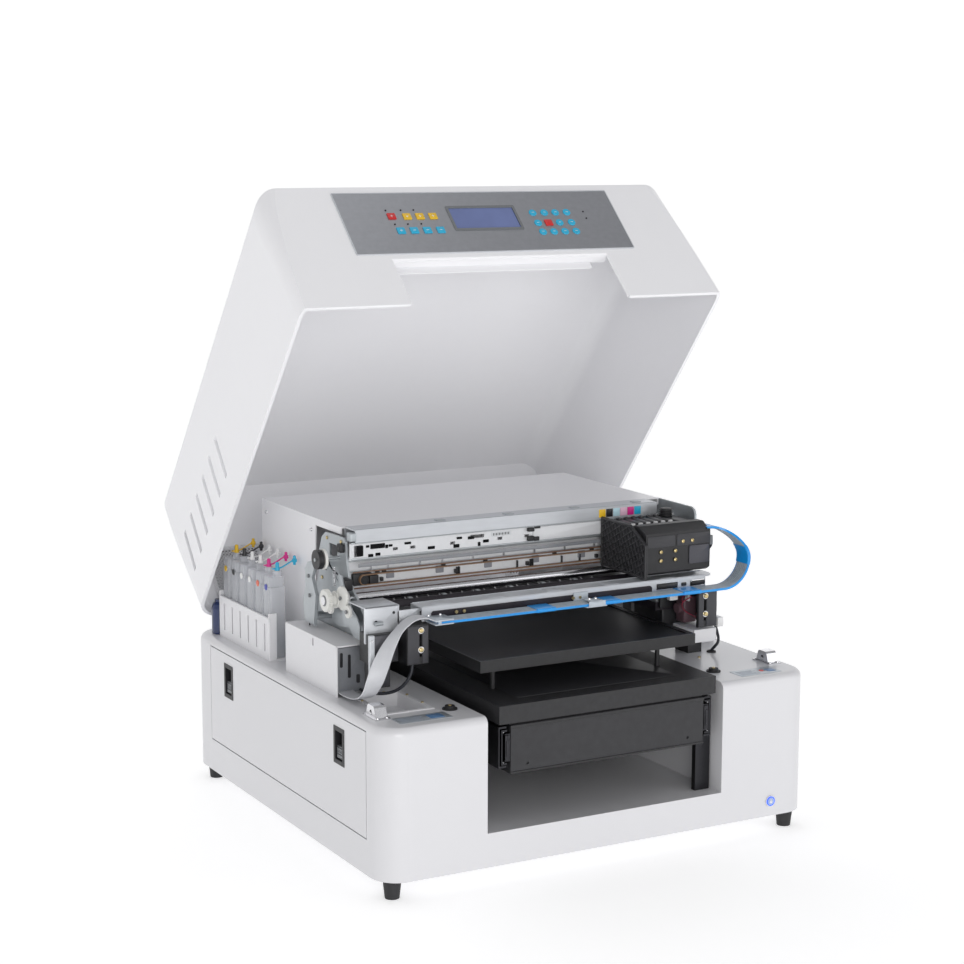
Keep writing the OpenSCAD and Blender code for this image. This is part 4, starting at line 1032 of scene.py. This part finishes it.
def dampers():
    """Six ink dampers with round shoulders, their white tabs, and the round duct with its coil at
    the right."""
    parts, tabs, first, pitch = [], [], 180, 15.2
    for k in range(6):
        x = first + pitch * k
        parts.append(slab((x, 227, 494), (x + 13, 280, 503.6), Y, 3.5, 1.0))
        parts.append(turned([(0.1, 0), (5.6, 0), (5.2, 2.4), (2.5, 3.8), (0.1, 4.0)],
            (x + 6.5, 270, 503), Z, 18))
        tabs.append(slab((x + 3, 223.0, 492), (x + 10.5, 227.4, 503.2), Z, 1.2, 0.6))
        tabs.append(slab((x + 4, 221.8, 489), (x + 9.5, 223.6, 498), Z, 1, 0.5))
    parts.append(slab((172, 200.5, 486), (297, 222, 496), X, 2.5, 1.2))
    parts.append(slab((271, 204, 494), (297, 282, 503), Y, 3, 1.2))
    ob = riding("damper_blocks", parts, black_soft, "black_plastic")
    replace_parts(ob, "ink_dampers")
    riding("damper_tabs", tabs, pure_white, "gear_white")
    a = np.linspace(0, 2 * math.pi * 5, 220)
    coil = np.column_stack([280 + 10.6 * np.cos(a), 266 + 10.6 * np.sin(a),
        np.linspace(499, 515, 220)])
    riding("round_duct", [turned([(0.1, 498), (9.5, 498), (9.5, 516), (7, 517), (0.1, 516)],
            (280, 266, 0), Z, 30), tube(coil, 1.0, 6)], black_matte, "black_plastic")


lamp_housing()
ribbed_side()
dampers()

# ---- ink band and cables ----

BAND_Z, LOOP_R, LOOP_X, BAND_D, BACK = 399.5, 49.0, 301.0, 131.0, 42.0


def band_rows(part):
    """Middle line of the band, and its way towards the inside of the loop, for one of its three
    parts."""
    if part == "lower":
        x = np.linspace(-246, LOOP_X, 80)
        path = np.column_stack([x, np.full(80, BAND_D), np.full(80, BAND_Z)])
        return path, np.tile([0.0, 0, 1], (80, 1))
    if part == "loop":
        a = np.radians(np.linspace(-90, 90, 60))
        d = BAND_D + np.where(a > 0, BACK * (1 - np.cos(2 * a)) / 2, 0)
        path = np.column_stack([LOOP_X + LOOP_R * np.cos(a), d, BAND_Z + LOOP_R + LOOP_R
            * np.sin(a)])
        return path, np.column_stack([-np.cos(a), np.zeros(60), -np.sin(a)])
    x = np.linspace(LOOP_X, 292, 24)
    path = np.column_stack([x, np.full(24, BAND_D + BACK), np.full(24, BAND_Z + 2 * LOOP_R)])
    return path, np.tile([0.0, 0, -1], (24, 1))


def carried(path, inward, outline):
    """Outline (across the band, towards its inside) carried along the band, across being the depth
    axis."""
    across = np.tile([0.0, 1, 0], (len(path), 1))
    rings = path[:, None] + outline[None, :, :1] * across[:, None] + outline[None, :,
        1:] * inward[:, None]
    t = np.gradient(path, axis=0)
    turned_right = np.sum(np.cross(across, inward) * t, 1).mean() > 0
    part = skin(rings)
    return part if turned_right else flipped(part)


def ink_band():
    """Blue channel holding six grey tubes, in three parts: the run along the rail, the loop, and
    the run to the carriage."""
    channel = np.array([(-16.4, -2.4), (16.4, -2.4), (16.4, 1.4), (15.2, 1.4), (15.2, -1.0),
        (-15.2, -1.0), (-15.2, 1.4), (-16.4, 1.4)])
    sleeve = rounded(34.6, 6.4, 1.6)
    wraps = {"lower": [(-66, -26), (57, 97), (215, 254)], "loop": [(-16, 24)], "upper": []}
    for part in ("lower", "loop", "upper"):
        path, inward = band_rows(part)
        tubes = [carried(path, inward, circle(1.95, 10) + [y, 0.5])
            for y in np.arange(-12.5, 13, 5.0)]
        pieces = [make("band_channel_" + part, [carried(path, inward, channel)], blue_tape_brightened, None,
            "band_blue"), make("band_tubes_" + part, tubes, tube_grey, None, "band_blue")]
        for lo, hi in wraps[part]:
            if part == "lower":
                keep = (path[:, 0] > lo) & (path[:, 0] < hi)
            else:
                angle = np.degrees(np.arctan2(path[:, 2] - BAND_Z - LOOP_R, path[:, 0] - LOOP_X))
                keep = (angle > lo) & (angle < hi)
            pieces.append(make(f"band_sleeve_{part}_{int(lo + 300)}",
                [carried(path[keep], inward[keep], sleeve)], blue_tape_brightened, None, "band_blue"))
        for ob in pieces:
            if part == "lower":
                tuple(at((-246, 131, 400)))
                tuple(at((2 * LOOP_X + 246, 131, 400)))
                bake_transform(ob)
            elif part == "loop":
                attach(ob, "band_loop")
            else:
                tuple(at((LOOP_X, 173, 497)))
                tuple(at((294, 173, 497)))
                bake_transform(ob)
        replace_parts(pieces[0], "ink_band_" + part)
    clamps = slabs(((-252, 112, 396), (-218, 150, 398), Z, 2, 0.5),
        ((-252, 112, 402), (-218, 150, 404.4), Z, 2, 0.5),
        ((-246, 113, 397), (-240, 116, 404), Z, 1, 0.5),
        ((-228, 146, 397), (-222, 150, 404), Z, 1, 0.5))
    fixed("band_clamp", clamps, clear_clip, "ribbon_white")
    fixed("band_clamp_screws", heads([(x, 148, 404.4) for x in (-246, -225)], Z, 14, 2.8, 2.4, 1.8,
        2.2), chrome, "chrome_parts")
    guides = slabs(((26, 112, 395.2), (66, 150, 396.8), Z, 2, 0.5),
        ((30, 111.4, 395.4), (62, 113.4, 405.4), Z, 1, 0.5),
        ((34, 111.4, 403.6), (58, 134, 405.6), Z, 2, 0.5),
        ((22, 146.6, 396), (50, 149.6, 414), Z, 2, 0.5))
    fixed("band_guide", guides, clear_clip, "ribbon_white")
    fixed("band_guide_screws", heads([(x, 128, 405.6) for x in (40, 52)], Z, 14, 2.6, 2.2, 1.8,
        2.2), chrome, "chrome_parts")


def flat_cable():
    """Flat cable: a ridged outline carried along its route, its wide side turning a quarter as it
    drops."""
    p = curve([(-246, 131, 400), (-266, 127, 409), (-288, 125, 408), (-310, 124, 393),
        (-328, 124, 368), (-342, 124, 340), (-352, 126, 314), (-358, 134, 294), (-360, 154, 284),
        (-360, 184, 280), (-358, 214, 279), (-354, 240, 279)], 120)
    turn = np.radians(90 * np.clip((392 - p[:, 2]) / 90, 0, 1))
    across = np.column_stack([-np.sin(turn), np.cos(turn), np.zeros(len(p))])
    w = np.linspace(-13.5, 13.5, 55)
    ridge = 0.55 + 0.22 * np.abs(np.cos(w * math.pi))
    outline = np.concatenate([np.column_stack([w, -ridge]),
        np.column_stack([w[::-1], ridge[::-1]])])
    ob = fixed("flat_cable", [strip(p, across, outline)], ribbon_white, "ribbon_white", sharp=60)
    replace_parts(ob, "ribbon_cable")
    fixed("flat_cable_plug", [slab((-370, 236, 275), (-338, 248, 283), Y, 1.5, 0.8)], black_matte,
        "black_plastic")


ink_band()
flat_cable()

# ---- ink supply ----


def ink_supply():
    """Six milky tanks with shoulders and necks, a coloured disc on each, stoppers on straps, the
    rack's folds and the hoses."""
    inks = [(blue, "blue"), (orange, "orange"), (pure_white, "white_a"), (pure_white, "white_b"),
        (ink_black, "black"), (yellow, "yellow")]
    stops = [(cyan, "blue"), (magenta, "magenta"), (pure_white, "white_a"), (pure_white, "white_b"),
        (ink_black, "black"), (yellow, "yellow")]
    bodies, necks, shown = [], [], None
    first, pitch = 504, 36.0
    for k in range(6):
        c = first + pitch * k
        bodies.append(slab((-371, c - 15, 275), (-341, c + 15, 398), Z, 4, 1.6))
        bodies.append(slab((-370.4, c - 13.5, 397), (-341.6, c + 13.5, 416), Z, 5, 3.0))
        necks.append(turned([(0.1, 414), (7.4, 414), (7.4, 422), (6.6, 424), (0.1, 424)],
            (-350, c, 0), Z, 22))
        fixed("tank_disc_" + inks[k][1], heads([(-371.1, c, 397)], X, 22, 5.4, 5.1, -0.8, -1.0),
            inks[k][0], "stopper_colour")
        strap = curve([(-359, c, 427), (-350, c, 427.6), (-342, c, 428.4), (-330, c, 434),
            (-318, c, 440)], 30)
        stopper = [turned([(0.1, 424), (4.4, 424), (4.6, 426.4), (3.4, 429), (3.2, 436.5),
                (2.2, 438), (0.1, 438.2)], (-350, c, 0), Z, 18),
            strip(strap, np.tile([0.0, 1, 0], (30, 1)), rounded(3.4, 2.0, 0.7)),
            turned([(0.1, 430), (2.3, 430.6), (2.6, 434), (4.4, 436), (4.4, 440), (2.6, 442),
                (2.4, 446), (0.1, 447)], (-318, c, 0), Z, 18)]
        ob = fixed("stopper_" + stops[k][1], stopper, stops[k][0], "stopper_colour")
        shown = shown or ob
    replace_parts(fixed("tank_bodies", bodies, tank_clear, "tank_clear"), "ink_tanks")
    fixed("tank_necks", necks, tank_clear, "gear_white")
    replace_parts(shown, "ink_stoppers")
    fixed("rack_fold", [slab((-375.6, 483.6, 343.6), (-371.6, 706.4, 346.4), Y, 1.2, 0.8)]
        + slabs(((-375.6, 483.6, 273), (-372, 487, 354.4), Z, 1, 0.6),
        ((-375.6, 703, 273), (-372, 706.4, 354.4), Z, 1, 0.6)), white_coat, "cover_white")
    hoses = [curve([(-346, first + pitch * k, 290), (-334 + k, first - 4 + pitch * k, 284),
            (-326 + k, 470, 282 + 2 * k), (-322 + k, 430, 284 + 2 * k), (-316, 400, 292 + 3 * k)],
        40) for k in range(6)]
    fixed("ink_hoses", [tube(r, 1.6, 8) for r in hoses], tube_grey, "tank_clear")


ink_supply()
